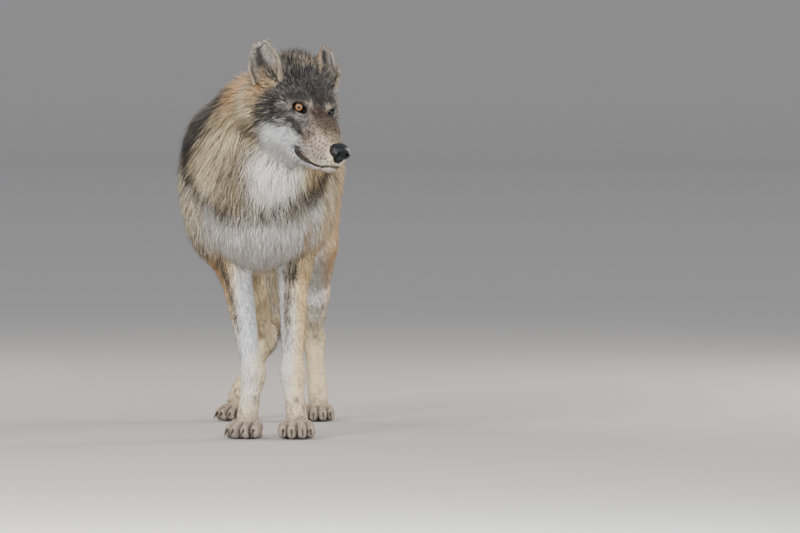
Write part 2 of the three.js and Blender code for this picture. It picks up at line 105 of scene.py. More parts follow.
def mass(centre, half, pitch=0, coat=0, axes=None):
    centre, half = np.array(centre, float)[:, None], np.array(half, float)[:, None]
    c, s = math.cos(math.radians(pitch)), math.sin(math.radians(pitch))
    rows = np.array([[1, 0, 0], [0, c, s], [0, -s, c]]) if axes is None else np.array(axes, float)

    def form(p):
        n = (rows @ (p - centre)) / half
        near = np.sqrt((n * n).sum(0))
        n /= half
        return near * (near - 1) / np.maximum(np.sqrt((n * n).sum(0)), 1e-6) + coat

    return form


def limb(start, end, startRadius, endRadius, breadth=1, coat=0):
    start = np.array(start, float)
    run = np.array(end, float) - start
    length = np.linalg.norm(run)
    axis = run / length

    def form(p):
        q = p - start[:, None]
        along = np.clip(axis @ q, 0, length)
        q = q - axis[:, None] * along
        q[0] /= breadth
        return np.sqrt((q * q).sum(0)) - startRadius - (endRadius - startRadius) * along / length + coat

    return form


def smaller(a, b, reach):
    overlap = np.maximum(reach - np.abs(a - b), 0) / reach
    return np.minimum(a, b) - overlap * overlap * reach / 4


def larger(a, b, reach):
    return -smaller(-a, -b, reach)


def blend(forms, reach):
    def form(p):
        nearest = forms[0](p)
        for other in forms[1:]:
            nearest = smaller(nearest, other(p), reach)
        return nearest

    return form


def hollow(form, pit, reach):
    return lambda p: larger(form(p), -pit(p), reach)


def within(form, low, high):
    # Saves time: the form is only worked out in its own box, and is taken as far off elsewhere.
    low, high = np.array(low, float)[:, None], np.array(high, float)[:, None]

    def boxed(p):
        value = np.full(p.shape[1], 400.0)
        inside = ((p > low) & (p < high)).all(0)
        if inside.any():
            value[inside] = form(p[:, inside])
        return value

    return boxed


def mirrored(make):
    return [make(-1), make(1)]


# The body under its coat. Each leg has points from top to ankle, its paw's place on the floor, and
# how far its toes turn out, in degrees.

stance = {
    "foreRight": {
        "top": (-90, -215, 520), "bend": (-64, -190, 385), "low": (-17, -222, 138),
        "paw": (-28, -245), "toeOut": -13,
    },
    "foreLeft": {
        "top": (84, -215, 515), "bend": (67, -190, 385), "low": (68, -222, 138),
        "paw": (79, -245), "toeOut": 8,
    },
    "hindRight": {
        "top": (-64, 270, 560), "bend": (-100, 205, 405), "low": (-64, 408, 178),
        "paw": (-124, 352), "toeOut": -20,
    },
    "hindLeft": {
        "top": (62, 270, 560), "bend": (76, 205, 405), "low": (45, 408, 178),
        "paw": (60, 352), "toeOut": 8,
    },
}

trunk = blend(
    [
        mass((-7, -110, 545), (156, 235, 192), coat=11),
        mass((-22, -130, 672), (92, 160, 92), coat=21),
        mass((4, -262, 482), (108, 92, 116), coat=13),
        mass((-114, -185, 560), (70, 98, 158), 8, coat=15),
        mass((-95, -172, 426), (44, 60, 60), coat=9),
        mass((84, -185, 548), (64, 98, 158), 8, coat=9),
        mass((-6, 100, 580), (130, 250, 150), coat=11),
        mass((0, -10, 450), (110, 240, 92), 4, coat=13),
        mass((0, 268, 608), (108, 146, 126), coat=11),
        *mirrored(lambda side: mass((side * 62, 262, 500), (54, 122, 150), -14, coat=9)),
    ],
    60,
)
neck = blend(
    [
        limb((-14, -150, 590), (28, -262, 700), 154, 112, 1.1, coat=25),
        limb((-8, -255, 690), (-22, -120, 668), 104, 98, coat=30),
        mass((0, -292, 560), (122, 88, 120), coat=20),
        mass((-42, -222, 635), (134, 110, 112), coat=37),
        mass((72, -282, 640), (100, 80, 112), coat=20),
    ],
    50,
)
tailLine = [(0, 366, 672), (-24, 428, 560), (-52, 458, 400), (-62, 470, 250), (-52, 470, 158)]
tail = blend(
    [
        limb(tailLine[0], tailLine[1], 40, 50, coat=13),
        limb(tailLine[1], tailLine[2], 50, 53, coat=18),
        limb(tailLine[2], tailLine[3], 53, 42, coat=18),
        limb(tailLine[3], (-56, 470, 200), 42, 22, coat=14),
    ],
    24,
)


def heelOf(leg, fore):
    x, y = leg["paw"]
    return (x, y + 6, 44) if fore else (x, y + 14, 46)


def foreLeg(leg):
    top, bend, low = leg["top"], leg["bend"], leg["low"]
    return blend(
        [
            limb(top, bend, 66, 46, 0.8, coat=7),
            mass((bend[0], bend[1] + 8, bend[2] - 12), (36, 46, 50), coat=6),
            limb(bend, low, 40, 23.5, 0.94, coat=3.2),
            mass((low[0], low[1] + 2, low[2] + 2), (22, 24, 36), coat=3.4),
            limb(low, heelOf(leg, True), 22, 25, coat=2.4),
        ],
        22,
    )


def hindLeg(leg):
    top, bend, low = leg["top"], leg["bend"], leg["low"]
    shin = tuple((np.array(bend) + np.array(low)) / 2)
    return blend(
        [
            limb(top, bend, 88, 60, 0.66, coat=9),
            limb(bend, shin, 58, 38, 0.78, coat=6),
            limb(shin, low, 38, 23, 0.86, coat=3.6),
            mass((low[0], low[1] + 12, low[2] + 10), (22, 26, 34), coat=3),
            limb(low, heelOf(leg, False), 23, 25, 0.95, coat=2.4),
        ],
        22,
    )


# Toes are [aside, ahead, radius] in the paw's own frame, which points to -Y. The size turns the
# toes' own breadth of 83 into 84.
paws = {
    "toes": [(-29, 24, 12.5), (-11.5, 38, 13), (11.5, 38, 13), (29, 24, 12.5)],
    "size": 84 / 83, "hindSize": 0.93 * 84 / 83, "crease": 3.4, "coat": 1.7, "floorGap": 0.5,
}


def pawFrame(name):
    leg = stance[name]
    size = paws["hindSize"] if name.startswith("hind") else paws["size"]
    return np.array([*leg["paw"], 0], float), spin(leg["toeOut"], "Z"), size


def toPaw(name, p):
    place, turn, size = pawFrame(name)
    return (p - place) @ turn / size


def toeForm(aside, ahead, radius):
    tip = mass((aside, -ahead, 17), (radius, 21, 17))
    knuckle = mass((aside * 0.9, -ahead + 17, 25), (radius, 20, 15), 20)
    return blend([tip, knuckle], 8)


def pawForm(name):
    place, turn, size = pawFrame(name)
    instep, sole = mass((0, 12, 26), (31, 30, 22)), mass((0, 6, 8), (33, 40, 14))
    own = blend([*(toeForm(*toe) for toe in paws["toes"]), instep, sole], paws["crease"])
    return lambda p: own(turn.T @ (p - place[:, None]) / size) * size + paws["coat"]


skull = blend(
    [
        mass((0, 88, 14), (80, 66, 68), coat=7),
        mass((0, 100, 60), (58, 42, 30), coat=12),
        mass((0, 46, 8), (60, 56, 38), coat=3),
        mass((-80, 80, 37), (35, 38, 34), coat=3),
        mass((60, 88, 36), (30, 37, 33), coat=2),
        *mirrored(lambda side: mass((side * 27, 2, 14), (20, 22, 14), coat=2)),
        *mirrored(lambda side: mass((side * 46, 36, -14), (36, 46, 40), coat=3)),
        *mirrored(lambda side: mass((side * 70, 84, -30), (46, 54, 64), coat=12)),
        mass((0, 50, -66), (66, 72, 46), coat=10),
        limb((0, 0, -22), (0, -124, -44), 31, 22, coat=1.5),
        *mirrored(lambda side: mass((side * 20, -42, -34), (24, 50, 36), coat=1.7)),
        *mirrored(lambda side: limb((side * 17, -16, -62), (side * 11, -118, -59), 28, 20, coat=1.4)),
        limb((0, 10, -86), (0, -118, -82), 29, 15, 1.3, coat=2),
        mass((0, -130, -42), (18, 13, 17), coat=1),
    ],
    18,
)
sockets = blend(mirrored(lambda side: mass((side * 46, -12, 1), (19, 17, 14))), 1)
nosePad = blend([mass((0, -137, -38), (22.5, 17, 15.5)), mass((0, -139, -51), (12, 14, 12))], 6)


def eyeAxes(side):
    # Across the opening to its outer corner, along the gaze, and up.
    across = unit(np.array(eyes["slant"]) * (side, 1, 1))
    out = eyeGaze(side)
    up = unit(np.cross(across, out)) * side
    return np.array([across, out, up * np.sign(up[2])])


def fromEye(side, across, out, up):
    return eyeCentre(side) + np.array([across, out, up], float) @ eyeAxes(side)


def lids(side):
    ball = mass(eyeCentre(side), [eyes["radius"] + eyes["lid"]] * 3)
    brow = limb(fromEye(side, -14, 7, 13), fromEye(side, 13, 5, 12.5), 5.5, 4.5)
    bag = limb(fromEye(side, -9, 6, -12.5), fromEye(side, 11, 5, -10.5), 4, 3.5)
    return blend([ball, brow, bag], 5)


def eyeOpening(side):
    axes = eyeAxes(side)
    wide, high = eyes["opening"]
    middle = mass(fromEye(side, -1.5, eyes["radius"] + 2, 0), (wide, 13, high), axes=axes)
    corner = mass(fromEye(side, -15, 9, -2.5), (5.5, 5, 2.2), axes=axes)
    return blend([middle, corner], 3)


ears = {
    "right": {
        "root": (-88, 82, 46), "tip": (-119, 98, 103),
        "openTo": (-0.72, -0.66, 0.15), "halfBreadth": 35,
    },
    "left": {
        "root": (50, 92, 50), "tip": (78, 132, 101),
        "openTo": (-0.2, -0.9, -0.1), "halfBreadth": 31,
    },
}
# Pairs are for the ear's root and its tip. The foot is where the ear begins, as a share of its length.
earWall = {
    "outside": 8, "thick": (5.4, 2.8), "wrap": (2.1, 0.8), "fill": (0.66, 0.3), "foot": -0.28,
    "rim": 1.6, "hairRim": 5, "slitRim": 4, "join": 2, "step": 2.1,
}


def taper(ends, up):
    return ends[0] + (ends[1] - ends[0]) * up


def earFrame(ear):
    root = np.array(ear["root"], float)
    axis = np.array(ear["tip"], float) - root
    length = np.linalg.norm(axis)
    axis /= length
    facing = np.array(ear["openTo"], float)
    facing = unit(facing - axis * (facing @ axis))
    return root, axis, length, facing, np.cross(axis, facing)


def earPlaces(ear, p):
    # Share of the way up, angle from the middle of the ear's back, and distance from its cup's line.
    root, axis, length, facing, across = earFrame(ear)
    q = p - root[:, None]
    share = axis @ q / length
    up = np.clip(share, 0, 0.999)
    breadth = ear["halfBreadth"] * (0.78 + 0.5 * up - 0.9 * up * up) * np.sqrt(1 - up**12)
    wrap = taper(earWall["wrap"], up)
    radius = breadth / np.sin(np.minimum(wrap, math.pi / 2))
    u, v = across @ q, facing @ q - radius
    return share, np.arctan2(u, -v), np.hypot(u, v), radius, wrap


def earSlit(ear):
    # The parting between the hair of the ear's two edges, which is also painted dark as the shade in the
    # ear's hollow.
    root, axis, length, facing, across = earFrame(ear)
    half = ear["halfBreadth"]
    foot = root + across * half * -0.16 + facing * half * 0.85
    top = root + axis * length * 0.74 + across * half * -0.34 + facing * half * 0.24
    return limb(foot, top, 6.5, 2.4)


def earForm(ear):
    root, axis, length, facing, across = earFrame(ear)
    slit = earSlit(ear)

    def form(p):
        share, angle, reach, radius, wrap = earPlaces(ear, p)
        up = np.clip(share, 0, 1)
        middle = radius + earWall["outside"] * (1 - 0.5 * up) / 2
        sheet = np.abs(reach - middle) - taper(earWall["thick"], up) / 2
        past = (np.abs(angle) - wrap) * np.maximum(reach, 4) + 1
        ends = np.maximum((share - 1) * length + 1, (earWall["foot"] - share) * length)
        cup = larger(larger(sheet, past, earWall["rim"]), ends, earWall["rim"])
        level = radius * (1 - np.cos(wrap)) * taper(earWall["fill"], up)
        hair = larger(reach - radius - 1, facing @ (p - root[:, None]) - level, earWall["hairRim"])
        hair = larger(larger(hair, ends, earWall["hairRim"]), -slit(p), earWall["slitRim"])
        return smaller(cup, hair, earWall["join"])

    return form


headForm = hollow(skull, sockets, 8)
headForm = blend([headForm, *(lids(side) for side in (-1, 1))], 5)
headForm = hollow(headForm, blend([eyeOpening(side) for side in (-1, 1)], 1), 1.6)
headForm = hollow(headForm, nosePad, 1.5)

legForms = []
for name, leg in stance.items():
    fore = name.startswith("fore")
    own = foreLeg(leg) if fore else hindLeg(leg)
    x, y = leg["paw"]
    paw = within(pawForm(name), (x - 90, y - 110, -30), (x + 90, y + 90, 130))
    box = ((-220, -330, -30), (220, -60, 640)) if fore else ((-240, 60, -30), (200, 520, 700))
    legForms.append(within(blend([own, paw], 7), *box))

parts = {
    "trunk": within(trunk, (-240, -440, 260), (220, 480, 830)),
    "neck": within(neck, (-240, -450, 370), (240, 40, 880)),
    "tail": within(tail, (-160, 290, 90), (80, 580, 760)),
    "head": within(
        lambda p: headForm(headTurn.T @ (p - headPlace[:, None])), (-80, -620, 480), (300, -140, 900)
    ),
}


# How softly each part runs into the rest.
joins = {"neck": 22, "leg": 24, "tail": 14, "head": 34, "sole": 1.5}


def body(p):
    whole = smaller(parts["trunk"](p), parts["neck"](p), joins["neck"])
    for leg in legForms:
        whole = smaller(whole, leg(p), joins["leg"])
    whole = smaller(whole, parts["tail"](p), joins["tail"])
    whole = smaller(whole, parts["head"](p), joins["head"])
    return larger(whole, paws["floorGap"] - p[2], joins["sole"])




def surfaceNet(form, low, high, step, far=28):
    # A closed mesh of quads where the form is zero. A coarse pass finds where the fine one is needed.
    sides = [np.arange(a, b + step, step) for a, b in zip(low, high)]
    shape = [len(s) for s in sides]
    coarse = [s[2::4] if len(s) > 2 else s for s in sides]
    grid = np.stack(np.meshgrid(*coarse, indexing="ij")).reshape(3, -1)
    rough = form(grid).reshape([len(s) for s in coarse])
    blocks = [np.minimum(np.arange(n) // 4, len(c) - 1) for n, c in zip(shape, coarse)]
    values = rough[np.ix_(*blocks)].astype(np.float32)
    fine = np.argwhere(np.abs(values) < far)
    places = np.array([sides[axis][fine[:, axis]] for axis in range(3)])
    values[tuple(fine.T)] = form(places)
    inside = values < 0
    corners = [(i, j, k) for i in (0, 1) for j in (0, 1) for k in (0, 1)]
    nx, ny, nz = values.shape
    count = sum(inside[i : nx - 1 + i, j : ny - 1 + j, k : nz - 1 + k].astype(np.int8) for i, j, k in corners)
    cells = np.argwhere((count > 0) & (count < 8))
    number = np.full([nx - 1, ny - 1, nz - 1], -1)
    number[tuple(cells.T)] = np.arange(len(cells))
    total = np.zeros([len(cells), 3])
    crossings = np.zeros(len(cells))
    at = {c: values[tuple((cells + c).T)] for c in corners}
    for c in corners:
        for axis in range(3):
            if c[axis]:
                continue
            d = tuple(v + (a == axis) for a, v in enumerate(c))
            hit = (at[c] < 0) != (at[d] < 0)
            place = np.tile(np.array(c, float), (hit.sum(), 1))
            place[:, axis] = at[c][hit] / (at[c][hit] - at[d][hit])
            total[hit] += place
            crossings[hit] += 1
    points = (cells + total / crossings[:, None]) * step + np.array(low, float)
    quads = []
    for axis in range(3):
        a, b = (axis + 1) % 3, (axis + 2) % 3
        first = [slice(1, n - 1) for n in values.shape]
        first[axis] = slice(0, values.shape[axis] - 1)
        second = list(first)
        second[axis] = slice(1, values.shape[axis])
        here, there = inside[tuple(first)], inside[tuple(second)]
        for way, crossed in ((1, here & ~there), (-1, ~here & there)):
            e = np.argwhere(crossed) + [s.start for s in first]
            ring = []
            for da, db in ((-1, -1), (0, -1), (0, 0), (-1, 0)):
                c = e.copy()
                c[:, a] += da
                c[:, b] += db
                ring.append(number[tuple(c.T)])
            quads.append(np.array(ring[::way]).T)
    return points, np.concatenate(quads)


def meshFrom(name, points, faces):
    data = bpy.data.meshes.new(name)
    data.vertices.add(len(points))
    data.vertices.foreach_set("co", np.asarray(points, np.float32).ravel())
    data.loops.add(faces.size)
    data.loops.foreach_set("vertex_index", faces.astype(np.int32).ravel())
    data.polygons.add(len(faces))
    data.polygons.foreach_set("loop_start", np.arange(0, faces.size, faces.shape[1], dtype=np.int32))
    data.update(calc_edges=True)
    data.validate()
    return data


def listed(items, key, width=3, kind=float):
    values = np.empty(len(items) * width, kind)
    items.foreach_get(key, values)
    return values.reshape(-1, width) if width > 1 else values


def setPoints(data, points):
    data.vertices.foreach_set("co", np.asarray(points, np.float32).ravel())
    data.update()


def evened(points, pairs, share=0.5):
    # Each point goes part of the way to the middle of its neighbours.
    total = np.zeros_like(points)
    count = np.zeros(len(points))
    for a, b in ((0, 1), (1, 0)):
        for axis in range(3):
            total[:, axis] += np.bincount(pairs[:, a], points[pairs[:, b], axis], len(points))
        count += np.bincount(pairs[:, a], minlength=len(points))
    return points + (total / np.maximum(count, 1)[:, None] - points) * share


def settled(points, form, steps, nudge=0.4, stride=5):
    # Moves each point along the form's slope to where the form is zero.
    for _ in range(steps):
        here = form(points.T)
        slope = np.empty_like(points)
        for axis in range(3):
            aside = points.copy()
            aside[:, axis] += nudge
            slope[:, axis] = (form(aside.T) - here) / nudge
        steep = np.maximum((slope * slope).sum(1), 0.25)
        points = points - slope * (np.clip(here, -stride, stride) / steep)[:, None]
    return points


def evenNet(name, form, low, high, step, far, share=0.5):
    # The mesh of a small form and its points, evened out.
    points, faces = surfaceNet(form, low, high, step, far)
    data = meshFrom(name, points, faces)
    pairs = listed(data.edges, "vertices", 2, np.int32)
    return data, settled(evened(settled(points, form, 1), pairs, share), form, 1)


def refine(data, chosen):
    # Cuts each edge between chosen points in two, and so their faces into four.
    bm = bmesh.new()
    bm.from_mesh(data)
    bm.verts.ensure_lookup_table()
    edges = [e for e in bm.edges if chosen[e.verts[0].index] and chosen[e.verts[1].index]]
    bmesh.ops.subdivide_edges(bm, edges=edges, cuts=1, use_grid_fill=True)
    bm.to_mesh(data)
    bm.free()


# The body's skin is finer on the head, and finest round the eyes, the mouth line and the paws.
skin = {
    "step": 6.0, "low": (-190, -575, -8), "high": (222, 540, 862),
    "fineHead": 128, "fineEye": 24, "fineMouth": 7, "finePaw": 46,
}
points, faces = surfaceNet(body, skin["low"], skin["high"], skin["step"])
skinData = meshFrom("skin", points, faces)
print("skin laid out:", len(points), "points")


def lipHeight(back):
    # The mouth line seen from the side.
    return np.interp(-back, [34, 64, 95, 122, 140, 160], [-88, -90, -90, -84, -73, -66])


def mouthGap(local):
    # Distance from the mouth line, growing past its corner and towards the middle of the head.
    behind = np.maximum(local[:, 1] + 40, 0)
    inwards = np.maximum(8 - np.abs(local[:, 0]), 0) * (local[:, 1] > -100)
    return np.hypot(local[:, 2] - lipHeight(local[:, 1]), behind) + inwards * 4


local = toHead(points)
refine(skinData, np.linalg.norm(local * (1, 0.8, 1), axis=1) < skin["fineHead"])
points = settled(listed(skinData.vertices, "co"), body, 1)
local = toHead(points)
chosen = (mouthGap(local) < skin["fineMouth"]) & (local[:, 1] < 0)
for side in (-1, 1):
    chosen |= np.linalg.norm(local - eyeCentre(side) - eyeGaze(side) * 8, axis=1) < skin["fineEye"]
for name in stance:
    chosen |= np.linalg.norm((toPaw(name, points) - (0, -26, 18)) * (1, 1, 1.2), axis=1) < skin["finePaw"]
setPoints(skinData, points)
refine(skinData, chosen)
points = listed(skinData.vertices, "co")
pairs = listed(skinData.edges, "vertices", 2, np.int32)
points = settled(evened(settled(points, body, 1), pairs), body, 2)
print("skin shaped:", len(points), "points")

setPoints(skinData, points)
whole = bmesh.new()
whole.from_mesh(skinData)
for ear in ears.values():
    root, axis, earLength, facing, across = earFrame(ear)
    corners = np.array([root + axis * earWall["foot"] * earLength, root + axis * earLength])
    low, high = corners.min(0) - 62, corners.max(0) + 62
    earData, earPoints = evenNet("ear", earForm(ear), low, high, earWall["step"], 9)
    setPoints(earData, fromHead(earPoints))
    whole.from_mesh(earData)
    bpy.data.meshes.remove(earData)
bodyCount = len(points)
whole.to_mesh(skinData)
whole.free()
points = listed(skinData.vertices, "co")
isEar = np.arange(len(points)) >= bodyCount
print("ears added:", len(points) - bodyCount, "points")

# The mouth's line is pressed in and the lips raised beside it, along the skin's normals.
normals = listed(skinData.vertex_normals, "vector")
local = toHead(points)
lips = {"lineDepth": 3.4, "lineWidth": 1.5, "rollHeight": 0.9, "rollWidth": 3.2, "rollPlace": 4.5}
mouth = np.exp(-((mouthGap(local) / lips["lineWidth"]) ** 2)) * (local[:, 1] < 0)
mouth[isEar] = 0
roll = np.exp(-(((mouthGap(local) - lips["rollPlace"]) / lips["rollWidth"]) ** 2)) * (local[:, 1] < -30)
press = lips["lineDepth"] * mouth - lips["rollHeight"] * roll
setPoints(skinData, toScene(points - normals * press[:, None]))
skinData.shade_smooth()
skinPiece = linkTo(bpy.data.objects.new("skin", skinData))


def wave(p, size, seed):
    # Smooth unevenness from -1 to 1, about as big as the size.
    rng = np.random.default_rng(seed)
    total = np.zeros(len(p))
    for _ in range(7):
        way = unit(rng.normal(size=3)) * rng.uniform(0.6, 1.7) * 2 * math.pi / size
        total += np.sin(p @ way + rng.uniform(0, 6.3) + 1.3 * np.sin(p @ way[[1, 2, 0]] * 0.7))
    return total / 4.2


def soft(value, low, high):
    t = np.clip((value - low) / (high - low), 0, 1)
    return t * t * (3 - 2 * t)


def fade(value, low, high):
    return 1 - soft(value, low, high)


def flipped(v, side):
    return (v[0] * side, *v[1:])


def alongRun(p, a, b):
    # Share of the way from a to b, and distance from the run between them.
    a, b = np.array(a, float), np.array(b, float)
    share = np.clip((p - a) @ (b - a) / ((b - a) @ (b - a)), 0, 1)
    return share, np.linalg.norm(p - a - share[:, None] * (b - a), axis=1)


# The lie of the coat, in rows of [place, reach, lie, length, lift in degrees].
bodyComb = [
    ((-15, -250, 800), 90, (-0.05, 0.9, -0.2), 54, 11),
    ((-70, -270, 770), 70, (-0.4, 0.6, -0.6), 46, 9),
    ((120, -230, 770), 70, (0.5, 0.6, -0.6), 60, 17),
    ((-140, -270, 690), 80, (-0.12, 0.35, -0.95), 62, 10),
    ((165, -270, 660), 80, (0.12, 0.4, -0.95), 74, 15),
    ((-90, -350, 640), 70, (-0.12, 0.1, -0.97), 72, 17),
    ((0, -380, 600), 70, (-0.05, 0.15, -0.98), 66, 17),
    ((70, -370, 570), 70, (0.1, 0.15, -0.98), 66, 17),
    ((0, -360, 500), 80, (0, 0.15, -1), 60, 15),
    ((0, -330, 420), 70, (0, 0.35, -0.9), 46, 14),
    ((-20, -120, 765), 90, (0, 0.97, -0.12), 66, 12),
    ((0, 60, 735), 110, (0, 1, -0.06), 58, 14),
    ((0, 250, 735), 100, (0, 0.95, -0.25), 54, 13),
    ((0, 0, 360), 90, (0, 0.95, -0.25), 46, 14),
    ((-100, 375, 90), 50, (-0.1, -0.2, -1), 10, 8),
    ((55, 375, 90), 50, (0, -0.2, -1), 10, 8),
    ((-10, 395, 640), 50, (-0.15, 0.45, -0.9), 56, 18),
    ((-40, 450, 480), 70, (-0.1, 0.15, -1), 66, 19),
    ((-60, 468, 320), 70, (-0.03, 0.08, -1), 66, 19),
    ((-56, 470, 210), 50, (0.05, 0.0, -1), 58, 14),
]
# Rows of [right place, left place, reach, lie on the left, length, lift].
pairedComb = [
    ((-165, -190, 580), (150, -190, 570), 80, (0.05, 0.5, -0.85), 50, 13),
    ((-135, 20, 590), (125, 20, 590), 110, (0, 0.85, -0.5), 50, 13),
    ((-120, 150, 500), (115, 150, 500), 80, (0, 0.75, -0.65), 46, 13),
    ((-90, -20, 400), (90, -20, 400), 80, (0, 0.8, -0.55), 52, 18),
    ((-115, 270, 500), (115, 270, 500), 80, (0, 0.4, -0.92), 42, 13),
    ((-60, 390, 560), (60, 390, 560), 70, (0.1, 0.15, -1), 56, 16),
    ((-64, -190, 400), (67, -190, 400), 44, (0, 0.2, -1), 30, 12),
    ((-50, -205, 300), (67, -205, 300), 55, (0, 0.12, -1), 17, 9),
    ((-25, -220, 180), (68, -220, 180), 55, (0, 0.05, -1), 12, 9),
    ((-22, -235, 85), (73, -235, 85), 45, (0, -0.2, -1), 10, 8),
    ((-95, 215, 400), (76, 215, 400), 55, (0, 0.3, -0.95), 34, 12),
    ((-82, 310, 290), (60, 310, 290), 55, (0, 0.55, -0.8), 20, 10),
    ((-70, 405, 180), (47, 405, 180), 50, (0, -0.05, -1), 14, 9),
]
headComb = [
    ((0, -112, -22), 26, (0, 1, 0.12), 3.6, 8),
    ((0, -62, -6), 26, (0, 1, 0.2), 4.6, 9),
    ((0, -25, 8), 22, (0, 0.85, 0.5), 6, 12),
    ((0, 20, 38), 28, (0, 0.8, 0.55), 10, 18),
    ((0, 55, 66), 30, (0, 0.9, 0.35), 16, 26),
    ((0, 95, 84), 34, (0, 0.7, 0.7), 28, 46),
    ((0, 140, 60), 40, (0, 0.95, -0.3), 40, 22),
]
# Rows as they are on the left of the head.
cheekComb = [
    ((26, 2, 22), 16, (0.15, 0.7, 0.6), 7, 16),
    ((42, 2, 10), 11, (0.35, 0.8, 0.4), 4.5, 12),
    ((58, 30, 28), 26, (0.4, 0.85, 0.3), 13, 18),
    ((84, 48, 18), 24, (0.5, 0.7, -0.1), 16, 20),
    ((34, -22, -10), 14, (0.35, 0.9, -0.1), 4, 9),
    ((50, 0, -18), 18, (0.45, 0.85, -0.15), 7, 13),
    ((27, -75, -38), 24, (0.2, 0.95, -0.12), 4, 9),
    ((24, -110, -50), 20, (0.3, 0.9, -0.25), 3.4, 9),
    ((32, -80, -68), 20, (0.2, 0.85, -0.5), 4.5, 10),
    ((44, -40, -56), 24, (0.3, 0.9, -0.3), 7, 12),
    ((68, 18, -42), 26, (0.4, 0.75, -0.5), 24, 16),
    ((84, 52, -20), 28, (0.45, 0.7, -0.45), 30, 17),
    ((98, 82, -40), 38, (0.4, 0.55, -0.75), 44, 19),
    ((66, 50, -90), 34, (0.25, 0.45, -0.9), 50, 20),
    ((46, 5, -92), 24, (0.2, 0.6, -0.8), 32, 18),
    ((16, -112, -92), 18, (0.1, 0.85, -0.5), 5, 12),
    ((20, -50, -108), 26, (0.1, 0.8, -0.65), 20, 16),
    ((30, 20, -118), 36, (0.1, 0.45, -0.9), 52, 20),
    ((80, 118, 20), 34, (0.4, 0.8, -0.4), 34, 22),
    ((84, 58, 40), 15, (0.25, 0.35, 0.9), 24, 24),
    ((52, 72, 66), 14, (0.3, 0.3, 0.9), 22, 28),
]
strokes = bodyComb + [
    (at, reach, flipped(way, side), long, angle)
    for right, left, reach, way, long, angle in pairedComb
    for at, side in ((right, -1), (left, 1))
]
headComb += [
    (flipped(at, side), reach, flipped(way, side), long, angle)
    for side in (-1, 1)
    for at, reach, way, long, angle in cheekComb
]
strokes += [
    (fromHead(at), reach, headTurn @ np.array(way), long, angle)
    for at, reach, way, long, angle in headComb
]

# Lengths are millimetres, and lifts degrees. Waves are [amount, size, seed].
combing = {
    "outerEar": {"length": 6, "lift": 10}, "innerEar": {"length": 10, "lift": 15, "rimLength": 6},
    "waves": {"broad": (0.22, 60, 3), "fine": (0.26, 20, 4), "length": (0.16, 40, 5)},
    "tousledAt": 60, "deepest": 0.7,
}
points = (listed(skinData.vertices, "co") - origin) * 1000
normals = listed(skinData.vertex_normals, "vector")
local = toHead(points)
lie = np.zeros_like(points)
length = np.zeros(len(points))
lift = np.zeros(len(points))
weight = np.full(len(points), 1e-12)
for place, reach, way, long, angle in strokes:
    share = np.exp(-((points - place) ** 2).sum(1) / reach**2) / (reach / 60) + 1e-9
    lie += unit(way) * share[:, None]
    length += long * share
    lift += angle * share
    weight += share
length /= weight
lift /= weight
lie -= normals * (lie * normals).sum(1, keepdims=True)

partNames = [*parts, *stance]
depths = {name: form(points.T) for name, form in zip(partNames, [*parts.values(), *legForms])}
partOf = np.array(partNames)[np.argmin(list(depths.values()), axis=0)]
onHead = (partOf == "head") & ~isEar
inEar = np.zeros(len(points), bool)
whichEar = np.where(local[:, 0] < 0, "right", "left")
for name, ear in ears.items():
    root, axis, earLength, facing, across = earFrame(ear)
    share, angle, reach, radius, wrap = earPlaces(ear, local.T)
    here = isEar & (whichEar == name)
    inner = here & (reach < radius + earWall["outside"] * 0.3)
    inEar |= inner
    rim = soft(np.abs(angle) / wrap, 0.75, 0.95)
    up = headTurn @ axis
    out = headTurn @ across * np.sign(angle + 0.6)[:, None]
    lie[here & ~inner] = up
    lie[inner] = (out * (1 - rim[:, None]) + up * (0.55 + rim[:, None]))[inner]
    length[here] = combing["outerEar"]["length"]
    length[inner] = taper((combing["innerEar"]["length"], combing["innerEar"]["rimLength"]), rim)[inner]
    lift[here] = combing["outerEar"]["lift"]
    lift[inner] = combing["innerEar"]["lift"]
lie -= normals * (lie * normals).sum(1, keepdims=True)
swirl = np.cross(normals, unit(lie))
tousle = np.clip(length / combing["tousledAt"], 0.35, 1.1)
waves = {key: most * wave(points, size, seed) for key, (most, size, seed) in combing["waves"].items()}
lie = unit(unit(lie) + swirl * (tousle * (waves["broad"] + waves["fine"]))[:, None])
length *= 1 + waves["length"]
# How far the form falls away under a hair laid straight.
fall = np.clip(body((points + lie * length[:, None]).T), 0, length * combing["deepest"])
fall[isEar] = 0
print("coat combed")

# Markings, shared by the skin and the coat. Tones are 0 to 255 as seen on a screen.
tones = {
    "snow": (244, 245, 246), "white": (246, 240, 228), "cream": (232, 214, 176), "buff": (216, 184, 136),
    "tan": (202, 156, 106), "rust": (170, 124, 78), "umber": (96, 78, 64), "agouti": (150, 134, 112),
    "grey": (134, 129, 123), "slate": (84, 79, 76), "dark": (44, 41, 39), "black": (16, 14, 15),
    "leg": (204, 185, 148), "pale": (206, 196, 180), "sand": (182, 162, 134), "cool": (192, 192, 192),
    "pawTone": (138, 121, 112), "pink": (116, 99, 88), "blush": (170, 148, 136), "lip": (40, 31, 28),
    "lipGrey": (104, 90, 82), "earPale": (150, 141, 130), "earBrown": (136, 96, 58), "deep": (104, 97, 90),
}


def linear(tone):
    c = np.array(tones[tone] if isinstance(tone, str) else tone, float) / 255
    return np.where(c < 0.04045, c / 12.92, ((c + 0.055) / 1.055) ** 2.4)


